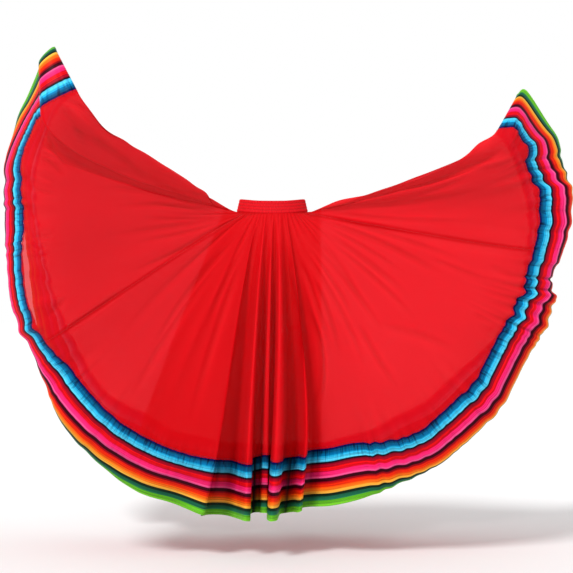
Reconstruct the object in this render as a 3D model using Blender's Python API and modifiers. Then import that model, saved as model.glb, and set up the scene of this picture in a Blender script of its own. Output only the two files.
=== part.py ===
"""Circle skirt with a striped border, as worn, with both sides lifted by the hem.

Metres, +Z up. The origin is the middle of the waistband, where the wearer's waist holds the skirt.
The front faces -Y, and the two lifted sides reach out along -X and +X.

The skirt is a ring of lines that run down the cloth from the waistband to the hem. Each line is a
row of a table: where its point on the border seam lies, and how the border hangs from there. Smooth
curves join the lines, and the cloth between two side seams is cut out of that ring as a panel.
"""

import math
from collections import namedtuple

import bmesh
import bpy
from mathutils import Vector

MM = 0.001

# Driving dimensions.
BAND_HEIGHT = 38 * MM
BAND_WALL = 3 * MM
BAND_TOP_WIDTH = 197 * MM
BAND_TOP_DEPTH = 154 * MM
BAND_FOOT_WIDTH = 215 * MM
BAND_FOOT_DEPTH = 170 * MM
BAND_DIP = 9 * MM  # how far the band's front drops below its sides
CLOTH_WALL = 1.0 * MM
BORDER_WIDTH = 178 * MM
SEAM_GAP = 0.3 * MM
GATHER_DROP = 4 * MM  # cloth that drops straight from the band before it spreads
HEM_APPROACH = 14 * MM  # cloth that runs straight into the border seam

# How the cloth leaves the band and meets the border, as shares of a line's length.
START_SPREAD = 0.35
SIDE_PULL = 0.06
FRONT_PULL = 0.28
END_PULL = 0.20
MAX_RISE = 0.3  # steepest the cloth may climb as it leaves the band

# Mesh density.
BAND_SIDES = 48
STEPS_PER_LINE = 2
PANEL_ROWS = 7
BORDER_ROWS = 4
ARC_STEPS_PER_ROW = 5

# Every line of the cloth. Angles are degrees in the front view, from +X towards +Z; lengths are mm.
#   turn, reach  where the line meets the border seam, from the middle of the waistband
#   depth        that point's y: negative is in front
#   sag          how far the line droops halfway along
#   fall         the way the border runs on from the seam
#   lean         how far the border tips backwards, out of the front view, at the seam
#   roll, curl   past "roll" from the seam, the border turns through "curl" more degrees
Line = namedtuple("Line", "name turn reach depth sag fall lean roll curl")

LEFT_WING = [
    Line("fold at the left hand", 151, 630, -450, 8, 118.5, 22, 125, 50),
    Line("edge of the held tip", 158.5, 695, -460, 10, 97, 25, 125, 50),
    Line("tuck behind the tip", 159.5, 692, -400, 45, 104, 38, 150, 0),
    Line("outer strip", 161.5, 710, -375, 85, 118, 55, 150, 0),
    Line("outer strip, further down", 164.8, 712, -388, 72, 137, 57, 130, 25),
    Line("strip turning under", 168.5, 717, -400, 60, 175, 56, 100, 70),
    Line("upper left side", 177, 710, -420, 25, 180, 49, 75, 95),
    Line("widest point on the left", 186, 705, -430, 0, 182, 44, 72, 105),
    Line("left side", 194.5, 730, -430, 0, 184, 50, 66, 110),
    Line("lower left side", 202.5, 750, -430, 0, 190, 48, 66, 112),
]
FRONT = [
    Line("left side seam", 212.5, 760, -420, 0, 206, 47, 64, 112),
    Line("below the left seam", 219.5, 750, -400, 0, 213, 27, 76, 112),
    Line("left corner", 227, 760, -380, 0, 222, 19, 103, 90),
    Line("lower left corner", 235.5, 775, -350, 0, 236, 21, 125, 70),
    Line("front left", 244.5, 780, -315, 0, 247, 20, 145, 30),
    Line("flat stretch", 252, 780, -290, 0, 253, 25, 150, 0),
    Line("first crest", 257.5, 775, -280, 0, 257, 13, 150, 0),
    Line("first crest edge", 257.9, 775, -272, 0, 258, 13, 150, 0),
    Line("first tuck", 257.1, 785, -212, 0, 258, 10, 150, 0),
    Line("first hollow", 258.4, 785, -178, 0, 260, 14, 150, 0),
    Line("hollow's right side", 261, 780, -178, 0, 262, 15, 150, 0),
    Line("second rise", 263.3, 780, -228, 0, 265, 17, 150, 0),
    Line("second crest", 264.9, 775, -286, 0, 267, 15, 150, 0),
    Line("second crest edge", 265.7, 775, -272, 0, 268, 14, 150, 0),
    Line("second tuck", 265.1, 770, -200, 0, 268, 9, 150, 0),
    Line("narrow hollow", 266.1, 765, -155, 0, 268, 13, 150, 0),
    Line("third rise", 267.3, 760, -165, 0, 268, 12, 150, 0),
    Line("third crest", 268.1, 750, -224, 0, 268, 9, 150, 0),
    Line("third crest edge", 269.1, 750, -226, 0, 269, 9, 150, 0),
    Line("third tuck", 269.2, 755, -160, 0, 268, 8, 150, 0),
    Line("third hollow", 270.2, 760, -150, 0, 267, 8, 150, 0),
    Line("fourth edge", 269.8, 765, -235, 0, 266, 8, 150, 0),
    Line("fourth crest", 270.8, 765, -292, 0, 266, 8, 150, 0),
    Line("fourth crest edge", 271.9, 765, -280, 0, 266, 8, 150, 0),
    Line("deep hollow", 273.2, 765, -168, 0, 265, 12, 150, 0),
    Line("hollow's far side", 274.5, 765, -160, 0, 264, 12, 150, 0),
    Line("fifth rise", 276.1, 760, -205, 0, 264, 14, 150, 0),
    Line("fifth crest", 277.5, 760, -252, 0, 264, 17, 150, 0),
    Line("fifth crest edge", 278, 755, -240, 0, 265, 15, 150, 0),
    Line("fifth tuck", 277.2, 750, -180, 0, 266, 10, 150, 0),
    Line("start of the right wing", 279, 750, -168, 0, 267, 10, 150, 0),
    Line("right wing's first rise", 283.4, 750, -215, 0, 271, 9, 150, 0),
    Line("front right", 288.5, 750, -260, 0, 278, 12, 148, 20),
    Line("lower right edge", 295, 775, -300, 0, 285, 24, 130, 60),
    Line("lower right corner", 302.5, 795, -325, 0, 299, 25, 112, 90),
    Line("right corner", 312, 785, -345, 0, 312, 22, 105, 100),
    Line("right rise", 318, 785, -360, 0, 321, 22, 98, 100),
    Line("lower right side", 326, 765, -365, 0, 333, 25, 100, 100),
    Line("billow", 334, 760, -375, 0, 340, 24, 104, 100),
    Line("bulge", 338.5, 760, -380, 0, 350, 24, 95, 100),
    Line("nip", 342.5, 765, -385, 0, 354, 28, 68, 120),
]
RIGHT_WING = [
    Line("right side seam", 349, 765, -385, 0, 357, 26, 78, 120),
    Line("widest point on the right", 355.5, 770, -385, 0, 360, 23, 82, 115),
    Line("upper right side", 361.5, 760, -400, 20, 366, 27, 92, 90),
    Line("right outer strip", 366.5, 738, -420, 60, 369, 35, 118, 60),
    Line("below the right tip", 372, 724, -440, 60, 386, 46, 140, 20),
    Line("corner of the right tip", 375.8, 716, -450, 34, 426, 43, 150, 0),
    Line("fold at the right hand", 376.7, 668, -450, 4, 417.5, 34, 130, 40),
]
BACK = [
    Line("behind the right tip", 373.5, 695, -360, 44, 428, 36, 150, 0),
    Line("back, upper right side", 367, 735, -230, 20, 425, 24, 150, 0),
    Line("back, right side", 358.5, 785, -70, 0, 412, 26, 150, 0),
    Line("back, lower right side", 348.5, 820, 100, 0, 406, 38, 150, 0),
    Line("back, right nip", 338.5, 840, 200, 0, 381, 48, 150, 0),
    Line("back, right corner", 331, 840, 235, 0, 337, 50, 150, 0),
    Line("back, right rise", 318.5, 805, 250, 0, 309, 30, 150, 0),
    Line("back, right hollow", 308, 795, 185, 0, 307, 20, 150, 0),
    Line("back, first crest", 300.5, 790, 275, 0, 299, 16, 150, 0),
    Line("back, first hollow", 294.5, 780, 150, 0, 293, 12, 150, 0),
    Line("back, second crest", 288, 780, 235, 0, 286, 12, 150, 0),
    Line("back, shallow hollow", 281.5, 775, 190, 0, 280, 11, 150, 0),
    Line("back, third crest", 275.5, 770, 300, 0, 275, 10, 150, 0),
    Line("back, deep hollow", 270, 765, 140, 0, 270, 9, 150, 0),
    Line("back, middle crest", 264, 770, 280, 0, 265, 10, 150, 0),
    Line("back, second hollow", 258.5, 770, 175, 0, 259, 11, 150, 0),
    Line("back, low crest", 252, 780, 240, 0, 252, 13, 150, 0),
    Line("back, third hollow", 246, 785, 150, 0, 246, 14, 150, 0),
    Line("back, last crest", 239.5, 790, 270, 0, 241, 16, 150, 0),
    Line("back, left hollow", 233, 795, 195, 0, 236, 18, 150, 0),
    Line("back, left corner", 227, 810, 250, 0, 240, 26, 150, 0),
    Line("back, left rise", 219, 795, 290, 0, 219, 38, 150, 0),
    Line("back, lower left side", 209.5, 780, 290, 0, 192, 50, 150, 0),
    Line("back, left nip", 198, 765, 265, 0, 158, 56, 150, 0),
    Line("back, left side", 186.5, 750, 170, 0, 130, 46, 150, 0),
    Line("back, upper left side", 175, 745, 30, 0, 120, 38, 150, 0),
    Line("behind the outer strip", 164.5, 715, -120, 16, 110, 52, 150, 0),
    Line("behind the left tip", 156.5, 680, -285, 34, 104, 46, 150, 0),
]
FRONT_LINES = LEFT_WING + FRONT + RIGHT_WING
LINES = FRONT_LINES + BACK
LEFT_SEAM = len(LEFT_WING)
RIGHT_SEAM = LEFT_SEAM + len(FRONT)

Material = namedtuple("Material", "colour roughness")
MATERIALS = {
    "elastic_band": Material((0.68, 0.010, 0.018), 0.75),
    "red_cloth": Material((0.78, 0.014, 0.026), 0.70),
    "striped_satin": Material((0.03, 0.33, 0.62), 0.38),
}


def clear_scene():
    """Remove whatever the open file shows."""
    for old in list(bpy.data.objects):
        bpy.data.objects.remove(old, do_unlink=True)


def make_material(name):
    """Make one finish from the table of materials."""
    look = MATERIALS[name]
    material = bpy.data.materials.new(name)
    material.use_nodes = True
    shader = material.node_tree.nodes["Principled BSDF"]
    shader.inputs["Base Color"].default_value = (*look.colour, 1.0)
    shader.inputs["Roughness"].default_value = look.roughness
    return material


def waist_point(turn, width, depth, height):
    """A point on the waist's oval; its front dips."""
    angle = math.radians(turn)
    front = max(0.0, -math.sin(angle))
    x = math.cos(angle) * width / 2
    y = math.sin(angle) * depth / 2
    return Vector((x, y, height - BAND_DIP * front * front))


def front_direction(degrees):
    """A unit vector in the front view."""
    angle = math.radians(degrees)
    return Vector((math.cos(angle), 0.0, math.sin(angle)))


def border_direction(line, along):
    """Which way the border runs at a distance along it from the seam."""
    roll = line.roll * MM
    past = max(0.0, along - roll) / (BORDER_WIDTH - roll)
    lean = math.radians(line.lean + line.curl * past)
    return front_direction(line.fall) * math.cos(lean) + Vector((0.0, math.sin(lean), 0.0))


def seam_point(line):
    """Where a line of the cloth meets the border."""
    point = front_direction(line.turn) * line.reach * MM
    point.y = line.depth * MM
    return point


def border_points(line):
    """A line's points on the border, from the seam to the hem, stepped along an arc of true length."""
    steps = BORDER_ROWS * ARC_STEPS_PER_ROW
    step = BORDER_WIDTH / steps
    point = seam_point(line)
    points = [point.copy()]
    for index in range(steps):
        point += border_direction(line, (index + 0.5) * step) * step
        if (index + 1) % ARC_STEPS_PER_ROW == 0:
            points.append(point.copy())
    return points


def panel_points(line, waist_turn):
    """A line's points on the red cloth: a short drop from the band, then one smooth curve to the seam."""
    top = waist_point(waist_turn, BAND_FOOT_WIDTH, BAND_FOOT_DEPTH, -BAND_HEIGHT / 2 - SEAM_GAP)
    seam = seam_point(line)
    arrive = border_direction(line, 0.0)
    start = top - Vector((0.0, 0.0, GATHER_DROP))
    end = seam - arrive * HEM_APPROACH
    straight = end - start
    length = straight.length
    outward = Vector((math.cos(math.radians(waist_turn)), math.sin(math.radians(waist_turn)), 0.0))
    to_front = abs(outward.y)
    leave = straight.normalized() + outward * START_SPREAD * to_front
    leave.z = min(leave.z, MAX_RISE)
    pull = SIDE_PULL + (FRONT_PULL - SIDE_PULL) * to_front
    near = start + leave.normalized() * length * pull
    far = end - arrive * length * END_PULL - Vector((0.0, 0.0, line.sag * MM))
    curve = []
    for row in range(PANEL_ROWS):
        t = row / (PANEL_ROWS - 1)
        s = 1 - t
        curve.append(s**3 * start + 3 * s * s * t * near + 3 * s * t * t * far + t**3 * end)
    return [top] + curve + [seam]


def even_turns(lines, first, last):
    """Gather a run of lines evenly onto the waist between two turns."""
    runs = [0.0]
    for before, after in zip(lines, lines[1:]):
        runs.append(runs[-1] + (seam_point(after) - seam_point(before)).length)
    return [first + (last - first) * run / runs[-1] for run in runs]


def waist_turns():
    """Each line's place on the waist: the front half from 180 to 360 degrees, then the back half."""
    front = even_turns(FRONT_LINES, 180, 360)
    back = even_turns([FRONT_LINES[-1]] + BACK + [FRONT_LINES[0]], 360, 540)
    return front + back[1:-1]


def between(points, knots, t):
    """A point of the centripetal Catmull-Rom curve through four points, t from the second to the third."""
    k0, k1, k2, k3 = knots
    k = k1 + (k2 - k1) * t
    a1 = points[0] * ((k1 - k) / (k1 - k0)) + points[1] * ((k - k0) / (k1 - k0))
    a2 = points[1] * ((k2 - k) / (k2 - k1)) + points[2] * ((k - k1) / (k2 - k1))
    a3 = points[2] * ((k3 - k) / (k3 - k2)) + points[3] * ((k - k2) / (k3 - k2))
    b1 = a1 * ((k2 - k) / (k2 - k0)) + a2 * ((k - k0) / (k2 - k0))
    b2 = a2 * ((k3 - k) / (k3 - k1)) + a3 * ((k - k1) / (k3 - k1))
    return b1 * ((k2 - k) / (k2 - k1)) + b2 * ((k - k1) / (k2 - k1))


def smooth_ring(columns, knot_row):
    """Add columns between the lines of a closed ring, spaced by the points of one row."""
    count = len(columns)
    ring = []
    for index in range(count):
        four = [columns[(index + offset) % count] for offset in (-1, 0, 1, 2)]
        knots = [0.0]
        for before, after in zip(four, four[1:]):
            knots.append(knots[-1] + math.sqrt((after[knot_row] - before[knot_row]).length))
        for step in range(STEPS_PER_LINE):
            t = step / STEPS_PER_LINE
            ring.append([between(points, knots, t) for points in zip(*four)])
    return ring


def stretch(ring, first, last):
    """The columns from one line to another, round the ring, as fresh points."""
    start = first * STEPS_PER_LINE
    end = last * STEPS_PER_LINE
    return [[point.copy() for point in ring[index % len(ring)]] for index in range(start, end + 1)]


def draw_back(edge, inner):
    """Move a row or column of edge points half a seam gap towards its neighbours."""
    for point, neighbour in zip(edge, inner):
        point += (neighbour - point).normalized() * SEAM_GAP / 2


def trim_sides(columns):
    """Leave half a seam gap at the two side seams."""
    draw_back(columns[0], columns[1])
    draw_back(columns[-1], columns[-2])


def trim_row(columns, edge, inner):
    """Leave half a seam gap along the border seam."""
    for column in columns:
        draw_back([column[edge]], [column[inner]])


def wall_object(name, columns, wall, material, collection, closed=False):
    """An open grid of points as a mesh, given its thickness by Solidify."""
    mesh = bmesh.new()
    grid = [[mesh.verts.new(point) for point in column] for column in columns]
    pairs = list(zip(grid, grid[1:]))
    if closed:
        pairs.append((grid[-1], grid[0]))
    for left, right in pairs:
        for row in range(len(left) - 1):
            mesh.faces.new((left[row], left[row + 1], right[row + 1], right[row]))
    data = bpy.data.meshes.new(name)
    mesh.to_mesh(data)
    mesh.free()
    data.materials.append(material)
    data.shade_smooth()
    piece = bpy.data.objects.new(name, data)
    collection.objects.link(piece)
    thickness = piece.modifiers.new("cloth_wall", "SOLIDIFY")
    thickness.thickness = wall
    thickness.offset = 0.0
    thickness.use_even_offset = False
    return piece


def make_band(material, collection):
    """The elastic waistband: a flared oval wall."""
    columns = []
    for side in range(BAND_SIDES):
        turn = 360 * side / BAND_SIDES
        top = waist_point(turn, BAND_TOP_WIDTH, BAND_TOP_DEPTH, BAND_HEIGHT / 2)
        foot = waist_point(turn, BAND_FOOT_WIDTH, BAND_FOOT_DEPTH, -BAND_HEIGHT / 2)
        columns.append([top, foot])
    return wall_object("waistband", columns, BAND_WALL, material, collection, closed=True)


def make_cloth(materials, collection):
    """The two red panels and the two border strips, cut from one ring of lines."""
    panel_ring = smooth_ring([panel_points(*pair) for pair in zip(LINES, waist_turns())], -1)
    border_ring = smooth_ring([border_points(line) for line in LINES], 0)
    halves = {
        "front": (LEFT_SEAM, RIGHT_SEAM),
        "back": (RIGHT_SEAM, LEFT_SEAM + len(LINES)),
    }
    for half, (first, last) in halves.items():
        panel = stretch(panel_ring, first, last)
        trim_row(panel, -1, -2)
        trim_sides(panel)
        wall_object(half + "_panel", panel, CLOTH_WALL, materials["red_cloth"], collection)
        border = stretch(border_ring, first, last)
        trim_row(border, 0, 1)
        trim_sides(border)
        wall_object(half + "_border", border, CLOTH_WALL, materials["striped_satin"], collection)


def main():
    clear_scene()
    collection = bpy.data.collections.new("circle_skirt")
    bpy.context.scene.collection.children.link(collection)
    materials = {name: make_material(name) for name in MATERIALS}
    make_band(materials["elastic_band"], collection)
    make_cloth(materials, collection)


main()
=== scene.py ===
"""Looks of a circle skirt with a striped satin border, worn and lifted by the hem at both sides.

The cloth is worked out as one ring of lines that run from the waistband down to the hem, the same
lines that the construction model has. Gathers, creases and ripples are pressed into that ring, and
the two red panels and the two striped borders are cut out of it. The waistband and all stitching
are shaped by Geometry Nodes. Metres, +Z up, front towards -Y, origin in the middle of the waistband.
"""

from __future__ import annotations

import logging
import math
from dataclasses import dataclass, field
from enum import Enum
from functools import partial
from typing import Any, NamedTuple, Sequence

import bpy
import numpy as np
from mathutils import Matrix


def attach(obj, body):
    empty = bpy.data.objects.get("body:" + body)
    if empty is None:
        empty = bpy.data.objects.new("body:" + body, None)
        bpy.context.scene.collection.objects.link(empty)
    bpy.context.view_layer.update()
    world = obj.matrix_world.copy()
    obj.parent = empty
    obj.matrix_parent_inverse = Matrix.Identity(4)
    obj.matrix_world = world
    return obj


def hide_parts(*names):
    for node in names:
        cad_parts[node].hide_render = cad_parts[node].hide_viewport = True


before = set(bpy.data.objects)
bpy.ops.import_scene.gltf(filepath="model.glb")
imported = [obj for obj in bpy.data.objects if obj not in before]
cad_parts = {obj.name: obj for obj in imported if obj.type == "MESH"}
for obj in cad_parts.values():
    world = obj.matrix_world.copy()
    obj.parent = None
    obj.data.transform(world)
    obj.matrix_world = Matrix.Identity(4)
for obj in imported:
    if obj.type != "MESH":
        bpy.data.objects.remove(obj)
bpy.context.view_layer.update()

LOG = logging.getLogger("circle_skirt")
BODY = "root"
MM = 0.001
FULL_TURN = 360.0


# ---------------------------------------------------------------------------------------------
# The cut of the skirt
# ---------------------------------------------------------------------------------------------


@dataclass(frozen=True)
class Cut:
    """Sizes of the skirt's pieces, in metres, as its maker would write them down."""

    band_height: float = 38 * MM
    band_wall: float = 3 * MM
    band_top_width: float = 197 * MM
    band_top_depth: float = 154 * MM
    band_foot_width: float = 215 * MM
    band_foot_depth: float = 170 * MM
    band_dip: float = 9 * MM
    border_width: float = 178 * MM
    seam_gap: float = 0.3 * MM
    gather_drop: float = 4 * MM
    hem_approach: float = 14 * MM
    start_spread: float = 0.35
    side_pull: float = 0.06
    front_pull: float = 0.28
    end_pull: float = 0.20
    max_rise: float = 0.3


class Line(NamedTuple):
    """One line of the cloth, from the waistband to the hem.

    turn and reach say where it meets the border seam in the front view, in degrees from +X towards
    +Z and in millimetres from the middle of the waistband, and depth is that point's y. sag is its
    droop halfway, fall the way the border runs on from the seam, lean how far the border tips
    backwards there, and past roll from the seam the border turns through curl more degrees.
    """

    name: str
    turn: float
    reach: float
    depth: float
    sag: float
    fall: float
    lean: float
    roll: float
    curl: float


LEFT_WING = [
    Line("fold at the left hand", 151, 630, -450, 8, 118.5, 22, 125, 50),
    Line("edge of the held tip", 158.5, 695, -460, 10, 97, 25, 125, 50),
    Line("tuck behind the tip", 159.5, 692, -400, 45, 104, 38, 150, 0),
    Line("outer strip", 161.5, 710, -375, 85, 118, 55, 150, 0),
    Line("outer strip, further down", 164.8, 712, -388, 72, 137, 57, 130, 25),
    Line("strip turning under", 168.5, 717, -400, 60, 175, 56, 100, 70),
    Line("upper left side", 177, 710, -420, 25, 180, 49, 75, 95),
    Line("widest point on the left", 186, 705, -430, 0, 182, 44, 72, 105),
    Line("left side", 194.5, 730, -430, 0, 184, 50, 66, 110),
    Line("lower left side", 202.5, 750, -430, 0, 190, 48, 66, 112),
]
FRONT = [
    Line("left side seam", 212.5, 760, -420, 0, 206, 47, 64, 112),
    Line("below the left seam", 219.5, 750, -400, 0, 213, 27, 76, 112),
    Line("left corner", 227, 760, -380, 0, 222, 19, 103, 90),
    Line("lower left corner", 235.5, 775, -350, 0, 236, 21, 125, 70),
    Line("front left", 244.5, 780, -315, 0, 247, 20, 145, 30),
    Line("flat stretch", 252, 780, -290, 0, 253, 25, 150, 0),
    Line("first crest", 257.5, 775, -280, 0, 257, 13, 150, 0),
    Line("first crest edge", 257.9, 775, -272, 0, 258, 13, 150, 0),
    Line("first tuck", 257.1, 785, -212, 0, 258, 10, 150, 0),
    Line("first hollow", 258.4, 785, -178, 0, 260, 14, 150, 0),
    Line("hollow's right side", 261, 780, -178, 0, 262, 15, 150, 0),
    Line("second rise", 263.3, 780, -228, 0, 265, 17, 150, 0),
    Line("second crest", 264.9, 775, -286, 0, 267, 15, 150, 0),
    Line("second crest edge", 265.7, 775, -272, 0, 268, 14, 150, 0),
    Line("second tuck", 265.1, 770, -200, 0, 268, 9, 150, 0),
    Line("narrow hollow", 266.1, 765, -155, 0, 268, 13, 150, 0),
    Line("third rise", 267.3, 760, -165, 0, 268, 12, 150, 0),
    Line("third crest", 268.1, 750, -224, 0, 268, 9, 150, 0),
    Line("third crest edge", 269.1, 750, -226, 0, 269, 9, 150, 0),
    Line("third tuck", 269.2, 755, -160, 0, 268, 8, 150, 0),
    Line("third hollow", 270.2, 760, -150, 0, 267, 8, 150, 0),
    Line("fourth edge", 269.8, 765, -235, 0, 266, 8, 150, 0),
    Line("fourth crest", 270.8, 765, -292, 0, 266, 8, 150, 0),
    Line("fourth crest edge", 271.9, 765, -280, 0, 266, 8, 150, 0),
    Line("deep hollow", 273.2, 765, -168, 0, 265, 12, 150, 0),
    Line("hollow's far side", 274.5, 765, -160, 0, 264, 12, 150, 0),
    Line("fifth rise", 276.1, 760, -205, 0, 264, 14, 150, 0),
    Line("fifth crest", 277.5, 760, -252, 0, 264, 17, 150, 0),
    Line("fifth crest edge", 278, 755, -240, 0, 265, 15, 150, 0),
    Line("fifth tuck", 277.2, 750, -180, 0, 266, 10, 150, 0),
    Line("start of the right wing", 279, 750, -168, 0, 267, 10, 150, 0),
    Line("right wing's first rise", 283.4, 750, -215, 0, 271, 9, 150, 0),
    Line("front right", 288.5, 750, -260, 0, 278, 12, 148, 20),
    Line("lower right edge", 295, 775, -300, 0, 285, 24, 130, 60),
    Line("lower right corner", 302.5, 795, -325, 0, 299, 25, 112, 90),
    Line("right corner", 312, 785, -345, 0, 312, 22, 105, 100),
    Line("right rise", 318, 785, -360, 0, 321, 22, 98, 100),
    Line("lower right side", 326, 765, -365, 0, 333, 25, 100, 100),
    Line("billow", 334, 760, -375, 0, 340, 24, 104, 100),
    Line("bulge", 338.5, 760, -380, 0, 350, 24, 95, 100),
    Line("nip", 342.5, 765, -385, 0, 354, 28, 68, 120),
]
RIGHT_WING = [
    Line("right side seam", 349, 765, -385, 0, 357, 26, 78, 120),
    Line("widest point on the right", 355.5, 770, -385, 0, 360, 23, 82, 115),
    Line("upper right side", 361.5, 760, -400, 20, 366, 27, 92, 90),
    Line("right outer strip", 366.5, 738, -420, 60, 369, 35, 118, 60),
    Line("below the right tip", 372, 724, -440, 60, 386, 46, 140, 20),
    Line("corner of the right tip", 375.8, 716, -450, 34, 426, 43, 150, 0),
    Line("fold at the right hand", 376.7, 668, -450, 4, 417.5, 34, 130, 40),
]
BACK = [
    Line("behind the right tip", 373.5, 695, -360, 44, 428, 36, 150, 0),
    Line("back, upper right side", 367, 735, -230, 20, 425, 24, 150, 0),
    Line("back, right side", 358.5, 785, -70, 0, 412, 26, 150, 0),
    Line("back, lower right side", 348.5, 820, 100, 0, 406, 38, 150, 0),
    Line("back, right nip", 338.5, 840, 200, 0, 381, 48, 150, 0),
    Line("back, right corner", 331, 840, 235, 0, 337, 50, 150, 0),
    Line("back, right rise", 318.5, 805, 250, 0, 309, 30, 150, 0),
    Line("back, right hollow", 308, 795, 185, 0, 307, 20, 150, 0),
    Line("back, first crest", 300.5, 790, 275, 0, 299, 16, 150, 0),
    Line("back, first hollow", 294.5, 780, 150, 0, 293, 12, 150, 0),
    Line("back, second crest", 288, 780, 235, 0, 286, 12, 150, 0),
    Line("back, shallow hollow", 281.5, 775, 190, 0, 280, 11, 150, 0),
    Line("back, third crest", 275.5, 770, 300, 0, 275, 10, 150, 0),
    Line("back, deep hollow", 270, 765, 140, 0, 270, 9, 150, 0),
    Line("back, middle crest", 264, 770, 280, 0, 265, 10, 150, 0),
    Line("back, second hollow", 258.5, 770, 175, 0, 259, 11, 150, 0),
    Line("back, low crest", 252, 780, 240, 0, 252, 13, 150, 0),
    Line("back, third hollow", 246, 785, 150, 0, 246, 14, 150, 0),
    Line("back, last crest", 239.5, 790, 270, 0, 241, 16, 150, 0),
    Line("back, left hollow", 233, 795, 195, 0, 236, 18, 150, 0),
    Line("back, left corner", 227, 810, 250, 0, 240, 26, 150, 0),
    Line("back, left rise", 219, 795, 290, 0, 219, 38, 150, 0),
    Line("back, lower left side", 209.5, 780, 290, 0, 192, 50, 150, 0),
    Line("back, left nip", 198, 765, 265, 0, 158, 56, 150, 0),
    Line("back, left side", 186.5, 750, 170, 0, 130, 46, 150, 0),
    Line("back, upper left side", 175, 745, 30, 0, 120, 38, 150, 0),
    Line("behind the outer strip", 164.5, 715, -120, 16, 110, 52, 150, 0),
    Line("behind the left tip", 156.5, 680, -285, 34, 104, 46, 150, 0),
]
FRONT_LINES = LEFT_WING + FRONT + RIGHT_WING
LINES = FRONT_LINES + BACK
LEFT_SEAM = len(LEFT_WING)
RIGHT_SEAM = LEFT_SEAM + len(FRONT)


class Crease(NamedTuple):
    """A soft trough or ridge, from one place of the front view to another.

    Each end is a turn in degrees and a reach in millimetres, as for a Line. bow bends it sideways,
    width is its half width and height its ridge's rise, negative for a trough, all in millimetres.
    """

    turn: float
    reach: float
    end_turn: float
    end_reach: float
    bow: float
    width: float
    height: float


# On the side that faces forward, both wings included.
FRONT_CREASES = [
    # The left wing, from its top edge down.
    Crease(163, 210, 156, 470, -10, 14, 5),
    Crease(168, 190, 160, 430, -10, 10, -4),
    Crease(161.6, 455, 153.8, 650, 8, 11, 10),
    Crease(158, 470, 152.5, 600, 2, 7, -7),
    Crease(180, 240, 168, 411, -6, 11, -6),
    Crease(171, 360, 161, 600, -10, 9, -9),
    Crease(165.5, 540, 156.4, 655, -12, 8, -11),
    Crease(160.5, 560, 157.8, 640, 0, 5, 5),
    Crease(154.5, 560, 154, 660, 0, 7, -6),
    Crease(171, 150, 166, 420, -6, 7, -4),
    Crease(176, 180, 170, 560, -22, 10, -4),
    Crease(181, 130, 174, 430, -16, 8, -5),
    Crease(185, 150, 176, 520, -14, 9, -4),
    Crease(186, 210, 181, 380, -6, 6, -4),
    Crease(190, 130, 182, 470, -10, 7, -4),
    Crease(193, 170, 187, 400, 6, 6, -4),
    Crease(196, 120, 192, 500, 6, 8, -4),
    Crease(200, 150, 197, 420, 6, 6, -4),
    Crease(204, 110, 201, 560, 8, 24, 5),
    Crease(207, 200, 207, 470, 4, 6, -4),
    Crease(211, 470, 213, 720, 4, 8, -5),
    Crease(215, 170, 223, 600, -16, 12, -3),
    Crease(219, 150, 232, 580, -12, 9, -5),
    Crease(223, 140, 230, 420, -8, 7, -5),
    Crease(227, 190, 235, 730, -10, 10, -5),
    Crease(233, 140, 243, 690, -14, 18, 6),
    Crease(236, 130, 243, 430, -8, 8, -5),
    Crease(240, 170, 250, 700, -8, 10, -6),
    Crease(168.5, 610, 163, 668, 8, 6, -6),
    Crease(171, 600, 167.5, 665, -4, 6, 6),
    Crease(174, 590, 170, 665, -8, 6, -6),
    Crease(176.5, 610, 174, 690, 4, 7, 5),
    Crease(179, 600, 177, 690, 4, 6, -5),
    Crease(190, 620, 189, 690, 3, 8, -4),
    Crease(206, 640, 208, 720, 3, 8, -4),
    # The right wing, from the centre up.
    Crease(284, 180, 279, 560, 12, 9, -6),
    Crease(289, 330, 281, 640, 34, 11, -10),
    Crease(293, 260, 285, 620, 20, 11, 6),
    Crease(296, 160, 291, 480, 10, 8, -5),
    Crease(299, 250, 293, 520, 8, 8, -6),
    Crease(305, 150, 299, 590, 14, 9, -6),
    Crease(306, 430, 304, 670, -8, 8, -5),
    Crease(310, 160, 305, 420, 8, 7, -5),
    Crease(310, 470, 321, 700, 10, 12, -6),
    Crease(317, 170, 310, 520, 10, 8, -5),
    Crease(325, 150, 311, 410, 12, 9, -6),
    Crease(328, 180, 320, 560, 10, 7, -5),
    Crease(333, 150, 325, 500, 8, 9, -6),
    Crease(338, 170, 331, 460, 6, 6, -4),
    Crease(344, 120, 336, 560, 14, 9, -7),
    Crease(347, 150, 342, 620, 8, 7, -5),
    Crease(340, 480, 339, 690, 0, 7, -4),
    Crease(350, 130, 347, 480, -6, 7, -5),
    Crease(348, 420, 349, 740, -6, 16, -7),
    Crease(353, 160, 354, 600, -12, 8, -5),
    Crease(352, 200, 357, 690, -20, 22, 8),
    Crease(356, 130, 363, 650, -18, 10, -8),
    Crease(359, 330, 367, 600, -10, 8, -5),
    Crease(366, 380, 372, 700, -14, 12, -9),
    Crease(369, 560, 370, 700, -6, 9, 6),
    Crease(343, 640, 342, 740, 4, 8, -4),
    Crease(330, 660, 331, 740, 4, 8, -4),
]

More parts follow.
